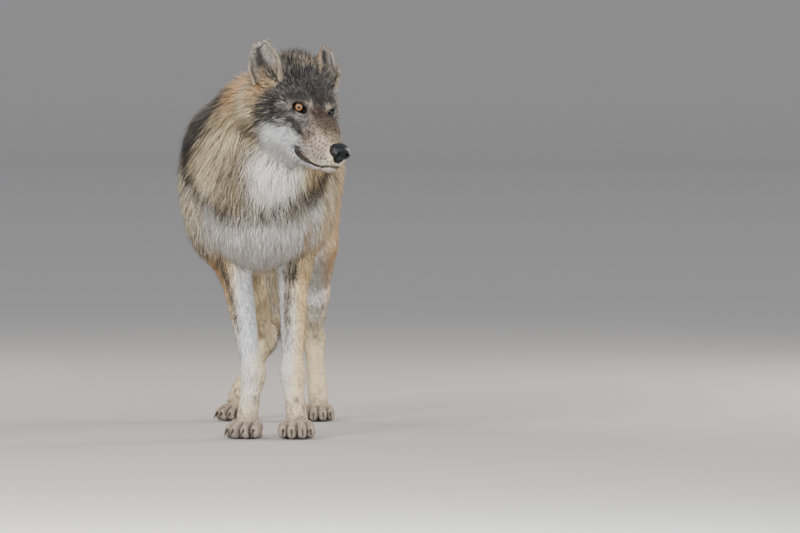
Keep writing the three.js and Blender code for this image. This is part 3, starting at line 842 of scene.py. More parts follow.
# Rows are [place, half-sizes, softness, root tone, tip tone, share of dark hairs].
bodyMarks = [
    ((0, 120, 705), (190, 420, 150), 0.35, "sand", "sand", 0.4),
    ((0, 60, 765), (110, 420, 80), 0.4, "agouti", "grey", 0.68),
    ((-130, -150, 700), (110, 150, 100), 0.5, "slate", "grey", 0.74),
    ((110, -140, 700), (100, 170, 95), 0.35, "agouti", "grey", 0.66),
    ((0, 20, 385), (120, 300, 70), 0.4, "cream", "cream", 0.03),
    ((-80, -320, 640), (100, 130, 130), 0.3, "cream", "cream", 0.2),
    ((110, -290, 650), (100, 120, 140), 0.3, "cream", "buff", 0.2),
    ((-20, -385, 580), (60, 70, 70), 0.6, "sand", "agouti", 0.36),
    ((48, -380, 560), (62, 80, 80), 0.4, "white", "white", 0.05),
    ((-112, -285, 450), (62, 70, 85), 0.4, "snow", "white", 0.05),
    ((122, -280, 440), (50, 70, 85), 0.4, "snow", "white", 0.05),
    ((10, -330, 410), (150, 110, 76), 0.25, "snow", "white", 0.03),
    ((-50, -335, 765), (56, 64, 70), 0.7, "buff", "tan", 0.04),
    ((-150, -235, 500), (52, 70, 90), 0.4, "white", "cream", 0.12),
    ((150, -200, 450), (44, 60, 95), 0.4, "white", "cream", 0.1),
    ((-110, 290, 470), (50, 150, 150), 0.5, "cream", "buff", 0.15),
    ((110, 290, 470), (50, 150, 150), 0.5, "cream", "buff", 0.15),
    ((0, 400, 520), (110, 60, 130), 0.4, "cream", "cream", 0.05),
    ((-64, -205, 230), (80, 80, 170), 0.2, "leg", "leg", 0.03),
    ((67, -205, 230), (70, 80, 170), 0.2, "leg", "leg", 0.03),
    ((-30, -220, 240), (28, 60, 170), 0.6, "cool", "cool", 0.03),
    ((50, -225, 240), (22, 60, 170), 0.6, "cool", "cool", 0.03),
    ((-90, -200, 300), (24, 60, 150), 0.6, "buff", "tan", 0.05),
    ((98, -195, 280), (20, 60, 150), 0.6, "buff", "buff", 0.05),
    ((-90, 300, 230), (60, 160, 190), 0.2, "leg", "leg", 0.03),
    ((60, 300, 230), (60, 160, 190), 0.2, "leg", "leg", 0.03),
    ((60, 215, 320), (50, 110, 260), 0.8, "snow", "white", 0.05),
    ((112, 250, 330), (24, 110, 180), 0.9, "buff", "tan", 0.05),
    ((-140, 280, 340), (26, 100, 150), 0.7, "buff", "tan", 0.05),
    ((-40, 450, 420), (90, 90, 260), 0.25, "white", "cream", 0.04),
    ((-30, 490, 560), (50, 40, 70), 0.6, "agouti", "grey", 0.6),
    ((-40, 410, 380), (70, 50, 170), 0.4, "white", "cream", 0.02),
    ((-56, 470, 145), (60, 60, 46), 0.4, "grey", "slate", 0.6),
]
headMarks = [
    ((0, 60, 0), (170, 150, 150), 0.1, "grey", "agouti", 0.35),
    ((0, 30, 46), (70, 74, 50), 0.4, "grey", "grey", 0.8),
    ((0, 96, 92), (60, 36, 22), 0.45, "agouti", "cream", 0.5),
    ((0, 130, 60), (90, 50, 60), 0.4, "agouti", "grey", 0.5),
    ((0, -48, -6), (42, 92, 36), 0.6, "umber", "umber", 0.58),
    ((0, -110, -22), (20, 30, 14), 0.8, "umber", "agouti", 0.3),
    ((10, 6, 34), (9, 32, 20), 0.7, "slate", "slate", 0.8),
    ((-10, 6, 34), (9, 32, 20), 0.7, "slate", "slate", 0.8),
    ((16, 40, 60), (8, 30, 16), 0.7, "slate", "slate", 0.8),
    ((-34, 46, 56), (8, 26, 14), 0.7, "slate", "slate", 0.8),
]
# Rows as they are on the left of the head.
cheekMarks = [
    ((74, 36, 14), (36, 38, 34), 0.4, "grey", "grey", 0.76),
    ((92, 54, 30), (8, 14, 14), 0.6, "buff", "buff", 0.2),
    ((96, 58, 52), (14, 22, 20), 0.6, "slate", "slate", 0.6),
    ((104, 90, -50), (36, 50, 50), 0.6, "cream", "cream", 0.16),
    ((114, 84, 4), (24, 40, 34), 0.9, "buff", "rust", 0.2),
    ((88, 44, -48), (22, 30, 62), 0.5, "deep", "deep", 0.78),
    ((84, 62, -108), (26, 30, 34), 0.5, "sand", "agouti", 0.35),
    ((34, -66, -42), (20, 60, 20), 0.7, "pink", "pink", 0.55),
    ((27, -104, -50), (20, 34, 22), 0.5, "blush", "blush", 0.16),
    ((26, -86, -72), (26, 66, 13), 0.4, "pink", "pale", 0.25),
    ((56, 4, -84), (36, 66, 40), 0.34, "snow", "snow", 0.04),
    ((66, 24, -48), (22, 30, 20), 0.5, "cool", "grey", 0.34),
    ((44, -18, -22), (28, 34, 24), 0.45, "deep", "grey", 0.6),
    ((52, -4, -32), (14, 12, 7), 0.7, "slate", "slate", 0.8),
    ((43, -34, -41), (12, 10, 6), 0.7, "slate", "slate", 0.75),
    ((24, -13, 20), (7, 6, 7), 0.9, "grey", "sand", 0.3),
    ((48, 6, 18), (32, 18, 14), 0.6, "slate", "slate", 0.75),
    ((54, 2, 4), (5, 5, 3), 0.5, "sand", "sand", 0.2),
    ((57, -4, -6), (5, 5, 3), 0.5, "tan", "tan", 0.2),
    ((44, -44, -86), (16, 20, 15), 0.6, "umber", "umber", 0.7),
]
headMarks += [(flipped(at, side), *rest) for side in (-1, 1) for at, *rest in cheekMarks]
headMarks += [
    ((0, -60, -118), (40, 90, 30), 0.3, "snow", "snow", 0.02),
    ((0, -128, -90), (24, 26, 14), 0.3, "pink", "pale", 0.1),
    ((0, 24, -126), (64, 84, 50), 0.35, "snow", "snow", 0.02),
    ((-37, -68, -30), (2.6, 3.0, 2.4), 0.3, "black", "black", 0),
]
# Black roots of the whiskers, in rows along each side of the muzzle: [ahead, up].
whiskerRows = [
    [(-86, -38), (-96, -37), (-106, -37), (-116, -37)],
    [(-82, -46), (-92, -45), (-102, -45), (-112, -45), (-122, -46)],
    [(-86, -54), (-96, -53), (-106, -53), (-116, -53), (-126, -54)],
    [(-92, -61), (-102, -61), (-112, -61), (-122, -62), (-132, -61)],
    [(-100, -68), (-110, -68), (-120, -67)],
]

# Bands are [place, radius, strength] along a line.
collar = [
    ((-60, -170, 800), 85, 1), ((-112, -244, 735), 82, 1), ((-140, -240, 680), 72, 1),
    ((-155, -234, 630), 52, 1), ((-160, -240, 588), 30, 0.95), ((-150, -268, 550), 18, 0.85),
    ((-122, -300, 522), 16, 0.6), ((-90, -327, 503), 15, 0.45), ((-62, -341, 488), 12, 0.3),
    ((-30, -353, 482), 12, 0.1), ((3, -354, 478), 12, 0.15), ((49, -349, 492), 15, 0.35),
    ((85, -333, 512), 20, 0.5), ((120, -291, 530), 27, 0.7), ((147, -270, 562), 30, 0.75),
    ((155, -240, 620), 38, 0.9), ((110, -190, 730), 55, 0.95),
]
tanLines = [
    [
        ((-132, -286, 520), 11, 0.8), ((-122, -287, 481), 11, 0.8), ((-106, -284, 438), 10, 0.8),
        ((-92, -262, 395), 9, 0.7),
    ],
    [
        ((120, -293, 500), 10, 0.8), ((112, -285, 450), 11, 0.8), ((100, -251, 406), 11, 0.8),
        ((92, -225, 360), 9, 0.6),
    ],
    [((150, -222, 495), 18, 0.6), ((140, -190, 430), 18, 0.7), ((122, -180, 380), 14, 0.6)],
]
speckles = [
    [
        ((-92, -215, 395), 15, 0.8), ((-74, -226, 330), 12, 1), ((-58, -233, 250), 9, 0.9),
        ((-46, -240, 185), 6, 0.5),
    ],
    [
        ((74, -232, 400), 17, 0.8), ((62, -230, 330), 14, 1), ((56, -234, 250), 10, 0.9),
        ((56, -240, 185), 6, 0.5),
    ],
]
# Painted shade: dark lines in the clefts where the chest's fur parts.
cleftShade = [
    [((-84, -335, 462), 5, 0.4), ((-74, -338, 440), 7, 0.9), ((-66, -338, 415), 5, 0.4)],
    [((-58, -340, 452), 5, 0.4), ((-52, -340, 430), 6, 0.8), ((-50, -338, 412), 4, 0.3)],
    [((-26, -345, 440), 5, 0.3), ((-22, -343, 420), 5, 0.6), ((-20, -340, 402), 4, 0.3)],
]
# On the head, as they are on its left: the stripe back from the eye, and the line under the lip.
eyeStripe = [
    ((50, 1, -2), 6, 0.95), ((62, 2, -12), 8, 0.9), ((76, 18, -30), 10, 0.8), ((82, 36, -52), 11, 0.6),
]
underLip = [((46, -36, -94), 7, 0.9), ((40, -70, -97), 8, 0.9), ((30, -105, -92), 5, 0.6)]

shown = points + lie * (length * 0.55)[:, None]
shownLocal = toHead(shown)
painted = {
    "root": np.tile(linear("cream"), (len(points), 1)),
    "tip": np.tile(linear("sand"), (len(points), 1)),
    "dark": np.full([len(points), 1], 0.45),
}


def paint(amount, root, tip, darkShare):
    share = np.clip(amount, 0, 1)[:, None]
    for key, goal in (("root", linear(root)), ("tip", linear(tip)), ("dark", darkShare)):
        painted[key] = painted[key] * (1 - share) + goal * share


# How far the edges of patches and bands wander.
ragged = {"broad": 0.10, "fine": 0.07, "fineSize": 0.35, "band": 0.6, "bandEdge": (0.55, 1.25)}


def patch(p, at, half, softness, size):
    near = (p - at) / np.array(half, float)
    away = np.sqrt((near * near).sum(1)) + ragged["broad"] * wave(p, size, 11)
    away += ragged["fine"] * wave(p, size * ragged["fineSize"], 12)
    return fade(away, 1 - softness, 1 + softness)


def band(p, line, raggedness=0.25, size=26):
    best = np.zeros(len(p))
    for (a, *startSize), (b, *endSize) in zip(line[:-1], line[1:]):
        share, away = alongRun(p, a, b)
        radius, strength = (taper(ends, share) for ends in zip(startSize, endSize))
        away = away / radius + raggedness * wave(p, size, 21) * ragged["band"]
        best = np.maximum(best, fade(away, *ragged["bandEdge"]) * strength)
    return best


for at, half, softness, *look in bodyMarks:
    paint(patch(shown, at, half, softness, 50), *look)
paint(band(shown, collar, 0.45), "grey", "deep", 0.8)
for line in tanLines:
    paint(band(shown, line), "buff", "tan", 0.05)
for line in speckles:
    paint(band(shown, line, 0.5, 9) * 0.9, "agouti", "agouti", 0.72)
# The chest's clefts are painted dark as shade.
for line in cleftShade:
    paint(band(shown, line, 0.3, 9), "slate", "dark", 0.5)
# The head's markings fade out where it meets the neck.
onFace = soft(depths["neck"] - depths["head"], -6, 14) * (depths["head"] < 30)
onFace = np.where(isEar, 1, np.where(onHead, onFace, 0))
before = dict(painted)
for at, half, softness, *look in headMarks:
    paint(patch(shownLocal, at, half, softness, 16), *look)
for line, spots, tone, dark in ((eyeStripe, shownLocal, "slate", 0.8), (underLip, local, "lipGrey", 0.4)):
    for side in (-1, 1):
        own = [(flipped(at, side), radius, strength) for at, radius, strength in line]
        paint(band(spots, own, 0.3, 9), tone, tone, dark)
earLook = {
    "outside": {"right": "agouti", "left": "earBrown"}, "groove": {"round": 13, "up": 10, "edge": (0.3, 0.9)},
    "slitShadeEdge": (1, 7), "rimEdge": (0.78, 0.98), "footEdge": (0.02, 0.3),
}
for name, ear in ears.items():
    share, angle, reach, radius, wrap = earPlaces(ear, local.T)
    here = isEar & (whichEar == name)
    outer, groove = earLook["outside"][name], earLook["groove"]
    paint(here * ~inEar * 1.0, outer, outer, 0.3)
    paint(here * inEar * 1.0, "earPale", "earPale", 0.08)
    # Painted shade: dark grooves between the ridges of hair inside the ear.
    grooveShade = np.sin(angle * groove["round"] + share * groove["up"] + wave(local, 9, 6))
    grooveShade = soft(grooveShade, *groove["edge"]) * soft(share, 0, 0.2)
    paint(here * inEar * grooveShade * 0.55, "slate", "deep", 0.3)
    # Painted shade: the parting down the ear's hollow is painted dark.
    paint(here * fade(earSlit(ear)(local.T), *earLook["slitShadeEdge"]), "dark", "dark", 0.1)
    paint(here * soft(np.abs(angle) / wrap, *earLook["rimEdge"]) * 0.7, "earPale", "sand", 0.25)
    paint(here * fade(share, *earLook["footEdge"]) * 0.85, "agouti", "agouti", 0.5)
for key, own in before.items():
    painted[key] = own + (painted[key] - own) * onFace[:, None]

# Bare dark skin, from 0 to 1: the lips, the lids and round the nose. Widths are [inner, outer].
bareSkin = {"lip": (0.75, 1.2), "lid": (2.0, 3.6), "nose": (1.5, 3.0), "sole": (2.5, 6), "whiskerRoot": 2.9}
gap = mouthGap(local)
lipWidth = np.interp(-local[:, 1], [30, 46, 64, 84, 110, 150], [12, 13, 9.5, 5, 3.2, 2.6])
bare = fade(gap / lipWidth, *bareSkin["lip"]) * (local[:, 1] < -28) * onHead
for side in (-1, 1):
    bare = np.maximum(bare, fade(eyeOpening(side)(local.T), *bareSkin["lid"]))
bare = np.maximum(bare, fade(nosePad(local.T), *bareSkin["nose"]) * onHead)
bareTone = np.where((gap < 14)[:, None], linear("lip"), linear("black"))
for key in ("root", "tip"):
    painted[key] = painted[key] + (bareTone - painted[key]) * bare[:, None]
for back, up in [spot for row in whiskerRows for spot in row]:
    away = np.hypot(local[:, 1] - back, local[:, 2] - up)
    paint(onHead * np.exp(-((away / bareSkin["whiskerRoot"]) ** 2)), "black", "black", 0)

# The paws, in their own frames: greyer low down, paler at the tips of the toes, and painted dark between them
# as shade in the creases.
pawLook = {
    "box": (60, 80, 60), "grey": (30, 62), "tipHeight": (10, 20), "tipAhead": (26, 44),
    "shadedGaps": (-21, 0, 21), "gapWidth": 2.6, "gapHeight": 38, "gapAhead": (14, 26),
}
for name in stance:
    aside, back, up = toPaw(name, points).T
    wide, long, high = pawLook["box"]
    near = (np.abs(aside) < wide) & (np.abs(back) < long) & (up < high)
    paint(near * fade(up, *pawLook["grey"]) * 0.75, "pawTone", "pawTone", 0.3)
    tips = near * fade(up, *pawLook["tipHeight"]) * soft(-back, *pawLook["tipAhead"])
    paint(tips * 0.4, "pale", "pale", 0.1)
    # Painted shade in the creases between the toes.
    for middle in pawLook["shadedGaps"]:
        off = (aside - middle * (0.8 - back / 200)) / pawLook["gapWidth"]
        line = np.exp(-(off**2)) * soft(-back, *pawLook["gapAhead"])
        paint(near * line * (up < pawLook["gapHeight"]) * 0.95, "dark", "dark", 0.1)

# How thick the coat stands: none on bare skin and soles.
amount = fade(bare, 0.25, 0.6) * soft(points[:, 2], *bareSkin["sole"])
# Hairs are darker or paler than the next ones in clumps and one by one, less so away from the head.
mottle = {
    "clump": 0.55, "headClump": (11, 31), "bodyClump": (26, 32), "limits": (0.3, 1.6),
    "hair": 0.7, "bodyHair": 0.5, "tone": 0.75,
}
clumps = np.where(partOf == "head", wave(points, *mottle["headClump"]), wave(points, *mottle["bodyClump"]))
grizzle = painted["dark"][:, 0] * np.clip(1 + mottle["clump"] * clumps, *mottle["limits"])
fleck = np.random.default_rng(8).uniform(-1, 1, len(points))
fleck = fleck * np.where(partOf == "head", 1, mottle["bodyHair"]) * ~isEar
grizzle = np.clip(grizzle * (1 + mottle["hair"] * fleck), 0, 1)
bright = 1 + mottle["tone"] * np.clip(grizzle * 2, 0, 1) * np.roll(fleck, 7) * (1 - bare)
rootTone, tipTone = painted["root"] * bright[:, None], painted["tip"] * bright[:, None]
print("markings painted")


def connect(tree, value, socket):
    if isinstance(value, bpy.types.NodeSocket):
        tree.links.new(value, socket)
    else:
        socket.default_value = value


def maker(tree):
    # Adds a node with its settings, and links or sets its inputs.
    def make(kind, inputs=None, **settings):
        node = tree.nodes.new(kind)
        for key, value in settings.items():
            setattr(node, key, value)
        for key, value in (inputs or {}).items():
            connect(tree, value, node.inputs[key])
        return node

    return make


def addSockets(tree, way, sockets):
    for label, kind in sockets.items():
        tree.interface.new_socket(label, in_out=way, socket_type=f"NodeSocket{kind}")


def calc(make, operation, *values):
    return make("ShaderNodeMath", dict(enumerate(values)), operation=operation).outputs[0]


def vectors(make, operation, a, b=None):
    inputs = {0: a}
    if b is not None:
        inputs["Scale" if operation == "SCALE" else 1] = b
    return make("ShaderNodeVectorMath", inputs, operation=operation).outputs[0]


def ranged(make, value, start, end, **settings):
    inputs = {"Value": value, "From Min": start[0], "From Max": start[1], "To Min": end[0], "To Max": end[1]}
    return make("ShaderNodeMapRange", inputs, **settings).outputs[0]


def mixed(make, share, a, b, **settings):
    return make("ShaderNodeMix", {0: share, 6: a, 7: b}, data_type="RGBA", **settings).outputs[2]


def noise(make, scale, detail):
    place = make("ShaderNodeTexCoord").outputs["Object"]
    return make("ShaderNodeTexNoise", {"Vector": place, "Scale": scale, "Detail": detail}).outputs[0]


def colour(tone):
    return (*linear(tone), 1)


# Each tuft is a thin three-sided spike. Lengths and widths are shares of the coat's, least and most,
# and so is the lean of its lift. It follows the form's fall, and curls down by the bend.
tufts = {
    "flatness": 0.42, "bend": 0.10, "spread": 0.32, "segments": 1, "sides": 3,
    "lengths": (0.72, 1.2), "widths": (0.7, 1.3), "lean": (0.55, 2.05), "leanPower": 3.0,
    "follow": 0.86, "sink": 0.0004, "floorGap": 0.0004, "mapPatch": 0.003, "seed": 40,
}


def coatTree():
    tree = bpy.data.node_groups.new("coatTufts", "GeometryNodeTree")
    tree.is_modifier = True
    inputs = {"Geometry": "Geometry", "Region": "Float", "Density": "Float", "Width": "Float"}
    inputs |= {"Flatness": "Float", "Bend": "Float", "Spread": "Float"}
    inputs |= {"Segments": "Int", "Seed": "Int", "Material": "Material"}
    addSockets(tree, "INPUT", inputs)
    addSockets(tree, "OUTPUT", {"Geometry": "Geometry"})
    make = maker(tree)
    given = make("NodeGroupInput").outputs

    def named(name, kind="FLOAT"):
        return make("GeometryNodeInputNamedAttribute", {"Name": name}, data_type=kind).outputs[0]

    def chance(low, high, offset):
        inputs = {2: low, 3: high, 8: calc(make, "ADD", given["Seed"], offset)}
        return make("FunctionNodeRandomValue", inputs, data_type="FLOAT").outputs[1]

    def store(geometry, name, value, kind="FLOAT"):
        inputs = {"Geometry": geometry, "Name": name, "Value": value}
        return make("GeometryNodeStoreNamedAttribute", inputs, data_type=kind, domain="POINT").outputs[0]

    inputs = {0: named("region"), 1: given["Region"], 12: 0.1}
    chosen = make("FunctionNodeCompare", inputs, data_type="FLOAT", operation="EQUAL").outputs[0]
    inputs = {"Mesh": given["Geometry"], "Selection": chosen, "Seed": given["Seed"]}
    inputs["Density"] = calc(make, "MULTIPLY", given["Density"], named("amount"))
    spread = make("GeometryNodeDistributePointsOnFaces", inputs, distribute_method="RANDOM").outputs
    spot = make("GeometryNodeInputPosition").outputs[0]
    roots = store(spread["Points"], "rootNormal", spread["Normal"], "FLOAT_VECTOR")
    roots = store(roots, "rootSpot", spot, "FLOAT_VECTOR")
    roots = store(roots, "strand", chance(0.0, 1.0, 1))
    uneven = calc(make, "MULTIPLY", named("coatLength"), chance(*tufts["lengths"], 2))
    roots = store(roots, "coatLength", uneven)

    normal = named("rootNormal", "FLOAT_VECTOR")
    combed = named("lie", "FLOAT_VECTOR")
    aside = vectors(make, "CROSS_PRODUCT", normal, combed)
    sway = vectors(make, "SCALE", aside, calc(make, "MULTIPLY", chance(-1.0, 1.0, 3), given["Spread"]))
    least, most = tufts["lean"]
    angle = calc(make, "POWER", chance(0.0, 1.0, 4), tufts["leanPower"])
    angle = calc(make, "MULTIPLY_ADD", angle, most - least, least)
    angle = calc(make, "MULTIPLY", named("lift"), angle)
    level = vectors(make, "NORMALIZE", vectors(make, "ADD", combed, sway))
    level = vectors(make, "SCALE", level, calc(make, "COSINE", angle))
    way = vectors(make, "ADD", level, vectors(make, "SCALE", normal, calc(make, "SINE", angle)))
    inputs = {"Primary Axis": way, "Secondary Axis": normal}
    turn = make("FunctionNodeAxesToRotation", inputs, primary_axis="Z", secondary_axis="X").outputs[0]
    wide = calc(make, "MULTIPLY", given["Width"], chance(*tufts["widths"], 5))
    inputs = {0: calc(make, "MULTIPLY", wide, given["Flatness"]), 1: wide, 2: named("coatLength")}
    size = make("ShaderNodeCombineXYZ", inputs).outputs[0]

    inputs = {"Vertices": tufts["sides"], "Side Segments": given["Segments"], "Fill Segments": 1}
    inputs |= {"Radius Top": 0.0, "Radius Bottom": 0.5, "Depth": 1.0}
    spike = make("GeometryNodeMeshCone", inputs, fill_type="NGON").outputs["Mesh"]
    spike = store(spike, "along", make("ShaderNodeSeparateXYZ", {0: spot}).outputs[2])
    inputs = {"Points": roots, "Instance": spike, "Rotation": turn, "Scale": size}
    planted = make("GeometryNodeInstanceOnPoints", inputs).outputs[0]
    solid = make("GeometryNodeRealizeInstances", {0: planted}).outputs[0]
    curl = calc(make, "MULTIPLY", named("fall"), tufts["follow"])
    curl = calc(make, "MULTIPLY_ADD", named("coatLength"), given["Bend"], curl)
    curl = calc(make, "MULTIPLY", calc(make, "POWER", named("along"), 2.0), curl)
    sunk = vectors(make, "SCALE", normal, calc(make, "SUBTRACT", -tufts["sink"], curl))
    bent = make("GeometryNodeSetPosition", {"Geometry": solid, "Offset": sunk}).outputs[0]
    smooth = make("GeometryNodeSetShadeSmooth", {"Geometry": bent}).outputs[0]
    inputs = {"Geometry": smooth, "Material": given["Material"]}
    make("NodeGroupOutput", {"Geometry": make("GeometryNodeSetMaterial", inputs).outputs[0]})
    return tree


# Along is 0 at a hair's root and 1 at its tip. Each hair is painted darker towards its root, as shade deep in
# the coat.
hair = {
    "rise": (0.15, 0.85), "dark": (32, 29, 28), "darkness": 0.88, "darkEdge": 0.02,
    "brightness": (0.7, 1.2), "rootShade": 0.32, "shadedTo": 0.6, "pick": 7.3,
}


def furToneGroup():
    # The colour along one hair. A share of the hairs are dark, and each differs a little.
    tree = bpy.data.node_groups.new("furTone", "ShaderNodeTree")
    inputs = {"Root": "Color", "Tip": "Color", "Along": "Float", "Strand": "Float", "Dark Share": "Float"}
    addSockets(tree, "INPUT", inputs)
    addSockets(tree, "OUTPUT", {"Tone": "Color"})
    make = maker(tree)
    given = make("NodeGroupInput").outputs
    rise = ranged(make, given["Along"], hair["rise"], (0, 1), interpolation_type="SMOOTHSTEP")
    base = mixed(make, rise, given["Root"], given["Tip"])
    other = calc(make, "FRACT", calc(make, "MULTIPLY", given["Strand"], hair["pick"]))
    isDark = calc(make, "SUBTRACT", given["Dark Share"], other)
    isDark = ranged(make, isDark, (-hair["darkEdge"], hair["darkEdge"]), (0, hair["darkness"]))
    base = mixed(make, isDark, base, colour(hair["dark"]))
    even = ranged(make, given["Strand"], (0, 1), hair["brightness"])
    # Painted shade: the hair darkens towards its root.
    shade = ranged(make, given["Along"], (0, hair["shadedTo"]), (hair["rootShade"], 1))
    bright = calc(make, "MULTIPLY", even, shade)
    make("NodeGroupOutput", {"Tone": mixed(make, 1.0, base, bright, blend_type="MULTIPLY")})
    return tree


furTone = furToneGroup()


def newMaterial(name):
    # A material, the maker of its nodes, and what dresses its surface.
    material = bpy.data.materials.new(name)
    material.use_nodes = True
    tree = material.node_tree

    def dress(inputs):
        for label, value in inputs.items():
            connect(tree, value, tree.nodes["Principled BSDF"].inputs[label])

    return material, maker(tree), dress


def attribute(make, name, output="Fac"):
    return make("ShaderNodeAttribute", attribute_name=name).outputs[output]


def coatMaterial():
    look = {"softness": 0.34, "roughness": 0.55, "shine": 0.3}
    material, make, dress = newMaterial("coatFur")
    inputs = {"Root": attribute(make, "rootTone", "Color"), "Tip": attribute(make, "tipTone", "Color")}
    inputs |= {"Along": attribute(make, "along"), "Strand": attribute(make, "strand")}
    inputs["Dark Share"] = attribute(make, "grizzle")
    tone = make("ShaderNodeGroup", inputs, node_tree=furTone).outputs[0]
    # The hairs are lit partly as the skin under them faces, which makes the coat soft.
    lean = vectors(make, "SCALE", attribute(make, "rootNormal", "Vector"), look["softness"])
    own = make("ShaderNodeNewGeometry").outputs["Normal"]
    own = vectors(make, "SCALE", own, 1 - look["softness"])
    normal = vectors(make, "NORMALIZE", vectors(make, "ADD", lean, own))
    dress({"Base Color": tone, "Normal": normal})
    dress({"Roughness": look["roughness"], "Specular IOR Level": look["shine"]})
    return material


def skinMaterial():
    look = {
        "grain": 620.0, "flecks": 1100.0, "fleckAndShadeTone": (0.28, 0.9),
        "roughness": (0.85, 0.42), "bump": 0.35, "bumpDepth": 0.001, "shine": 0.3,
    }
    material, make, dress = newMaterial("skinUnderCoat")
    grain = noise(make, look["grain"], 3.0)
    tone = mixed(make, grain, attribute(make, "rootTone", "Color"), attribute(make, "tipTone", "Color"))
    # Dark flecks stand for dark hairs; elsewhere the skin is painted a little darker than the coat's tones,
    # as shade under the hairs.
    fleck = ranged(make, noise(make, look["flecks"], 1.0), (0.32, 0.68), (0, 1))
    flecksAndShade = calc(make, "SUBTRACT", fleck, attribute(make, "grizzle"))
    flecksAndShade = ranged(make, flecksAndShade, (-0.15, 0.15), look["fleckAndShadeTone"])
    tone = mixed(make, 1.0, tone, flecksAndShade, blend_type="MULTIPLY")
    rough = ranged(make, attribute(make, "bare"), (0, 1), look["roughness"])
    inputs = {"Height": grain, "Strength": look["bump"], "Distance": look["bumpDepth"]}
    bump = make("ShaderNodeBump", inputs).outputs[0]
    dress({"Base Color": tone, "Roughness": rough, "Normal": bump, "Specular IOR Level": look["shine"]})
    return material


skinData.materials.append(skinMaterial())

# The coat, one piece for each part of the body, of tufts with a width in millimetres.
coats = {
    "coat_shoulders": {"region": 1, "tufts": 46000, "width": 2.2, "slot": "coat_body"},
    "coat_loin": {"region": 2, "tufts": 46000, "width": 2.4, "slot": "coat_body"},
    "coat_ruff": {"region": 3, "tufts": 47000, "width": 2.3, "slot": "coat_neck"},
    "coat_mane": {"region": 10, "tufts": 40000, "width": 2.4, "slot": "coat_neck"},
    "coat_tail": {"region": 4, "tufts": 16000, "width": 2.4, "slot": "coat_tail"},
    "coat_forelegs": {"region": 5, "tufts": 36000, "width": 1.4, "slot": "coat_legs"},
    "coat_hindlegs": {"region": 6, "tufts": 36000, "width": 1.7, "slot": "coat_legs"},
    "coat_head": {"region": 7, "tufts": 44000, "width": 1.9, "slot": "coat_head"},
    "coat_ears": {"region": 9, "tufts": 10000, "width": 1.1, "slot": "coat_head"},
    "coat_face": {"region": 8, "tufts": 46000, "width": 1.15, "slot": "coat_head"},
}
# Where one piece ends and the next begins: along the body, along the head, and by the hair's length.
seams = {"shoulders": -40, "ruff": -262, "face": 38, "faceHair": 14}
grounds = {
    "coat_shoulders": (partOf == "trunk") & (points[:, 1] < seams["shoulders"]),
    "coat_loin": (partOf == "trunk") & (points[:, 1] >= seams["shoulders"]),
    "coat_ruff": (partOf == "neck") & (points[:, 1] < seams["ruff"]),
    "coat_mane": (partOf == "neck") & (points[:, 1] >= seams["ruff"]),
    "coat_tail": partOf == "tail",
    "coat_forelegs": np.isin(partOf, ("foreRight", "foreLeft")),
    "coat_hindlegs": np.isin(partOf, ("hindRight", "hindLeft")),
    "coat_head": onHead,
    "coat_face": onHead & (local[:, 1] < seams["face"]) & (length < seams["faceHair"]),
    "coat_ears": isEar,
}
region = np.zeros(len(points))
for name, ground in grounds.items():
    region[ground] = coats[name]["region"]
amount[isEar & (headForm(local.T) < 2)] = 0


def keep(data, name, values):
    # An attribute of the mesh's points: plain values, or ways or tones in three columns.
    values = np.asarray(values, np.float32)
    kind, field = "FLOAT", "value"
    if name.endswith("Tone"):
        kind, field = "FLOAT_COLOR", "color"
        values = np.column_stack([values, np.ones(len(values), np.float32)])
    elif values.ndim > 1:
        kind, field = "FLOAT_VECTOR", "vector"
    data.attributes.new(name, kind, "POINT").data.foreach_set(field, values.ravel())


kept = {
    "lie": lie, "coatLength": length / 1000, "lift": np.radians(lift), "fall": fall / 1000,
    "amount": amount, "rootTone": rootTone, "tipTone": tipTone, "grizzle": grizzle,
    "region": region, "bare": bare,
}
for name, values in kept.items():
    keep(skinData, name, values)


def legLine(name):
    leg = stance[name]
    x, y = leg["paw"]
    return [leg["top"], leg["bend"], leg["low"], heelOf(leg, name.startswith("fore")), (x, y - 40, 12)]


# Lines that each coat's map is wrapped round.
wraps = {
    "coat_shoulders": [[(-20, -40, 540), (0, -400, 500)]],
    "coat_loin": [[(0, -40, 560), (0, 460, 590)]],
    "coat_ruff": [[(0, -200, 800), (0, -300, 380)]],
    "coat_mane": [[(-20, -110, 620), (40, -420, 660)]],
    "coat_tail": [tailLine],
    "coat_forelegs": [legLine("foreRight"), legLine("foreLeft")],
    "coat_hindlegs": [legLine("hindRight"), legLine("hindLeft")],
    "coat_head": [[fromHead((0, 150, 0)), fromHead((0, -40, -60))]],
    "coat_ears": [[fromHead(ear["root"]), fromHead(ear["tip"])] for ear in ears.values()],
    "coat_face": [[fromHead((0, 60, 0)), fromHead((0, -150, -50))]],
}


def wrapped(spots, lines):
    # Places on an unwrap of the skin: each run of the lines has a cell, with the turn round it and
    # the way along it as the cell's two sides.
    runs = [(np.array(a, float), np.array(b, float)) for line in lines for a, b in zip(line[:-1], line[1:])]
    nearest = np.argmin([alongRun(spots, a, b)[1] for a, b in runs], axis=0)
    columns = math.ceil(math.sqrt(len(runs)))
    rows = math.ceil(len(runs) / columns)
    uv = np.zeros([len(spots), 2])
    for index, (a, b) in enumerate(runs):
        here = nearest == index
        if not here.any():
            continue
        axis = unit(b - a)
        side = unit(np.cross(axis, (0, 0, 1) if abs(axis[2]) < 0.8 else (0, 1, 0)))
        q = spots[here] - a
        turn = np.arctan2(q @ np.cross(axis, side), q @ side) / (2 * math.pi) + 0.5
        along = q @ axis
        along = (along - along.min()) / max(np.ptp(along), 1e-6)
        cell = np.array([index % columns, index // columns])
        uv[here] = (cell + 0.02 + 0.95 * np.column_stack([turn, along])) / (columns, rows)
    return uv


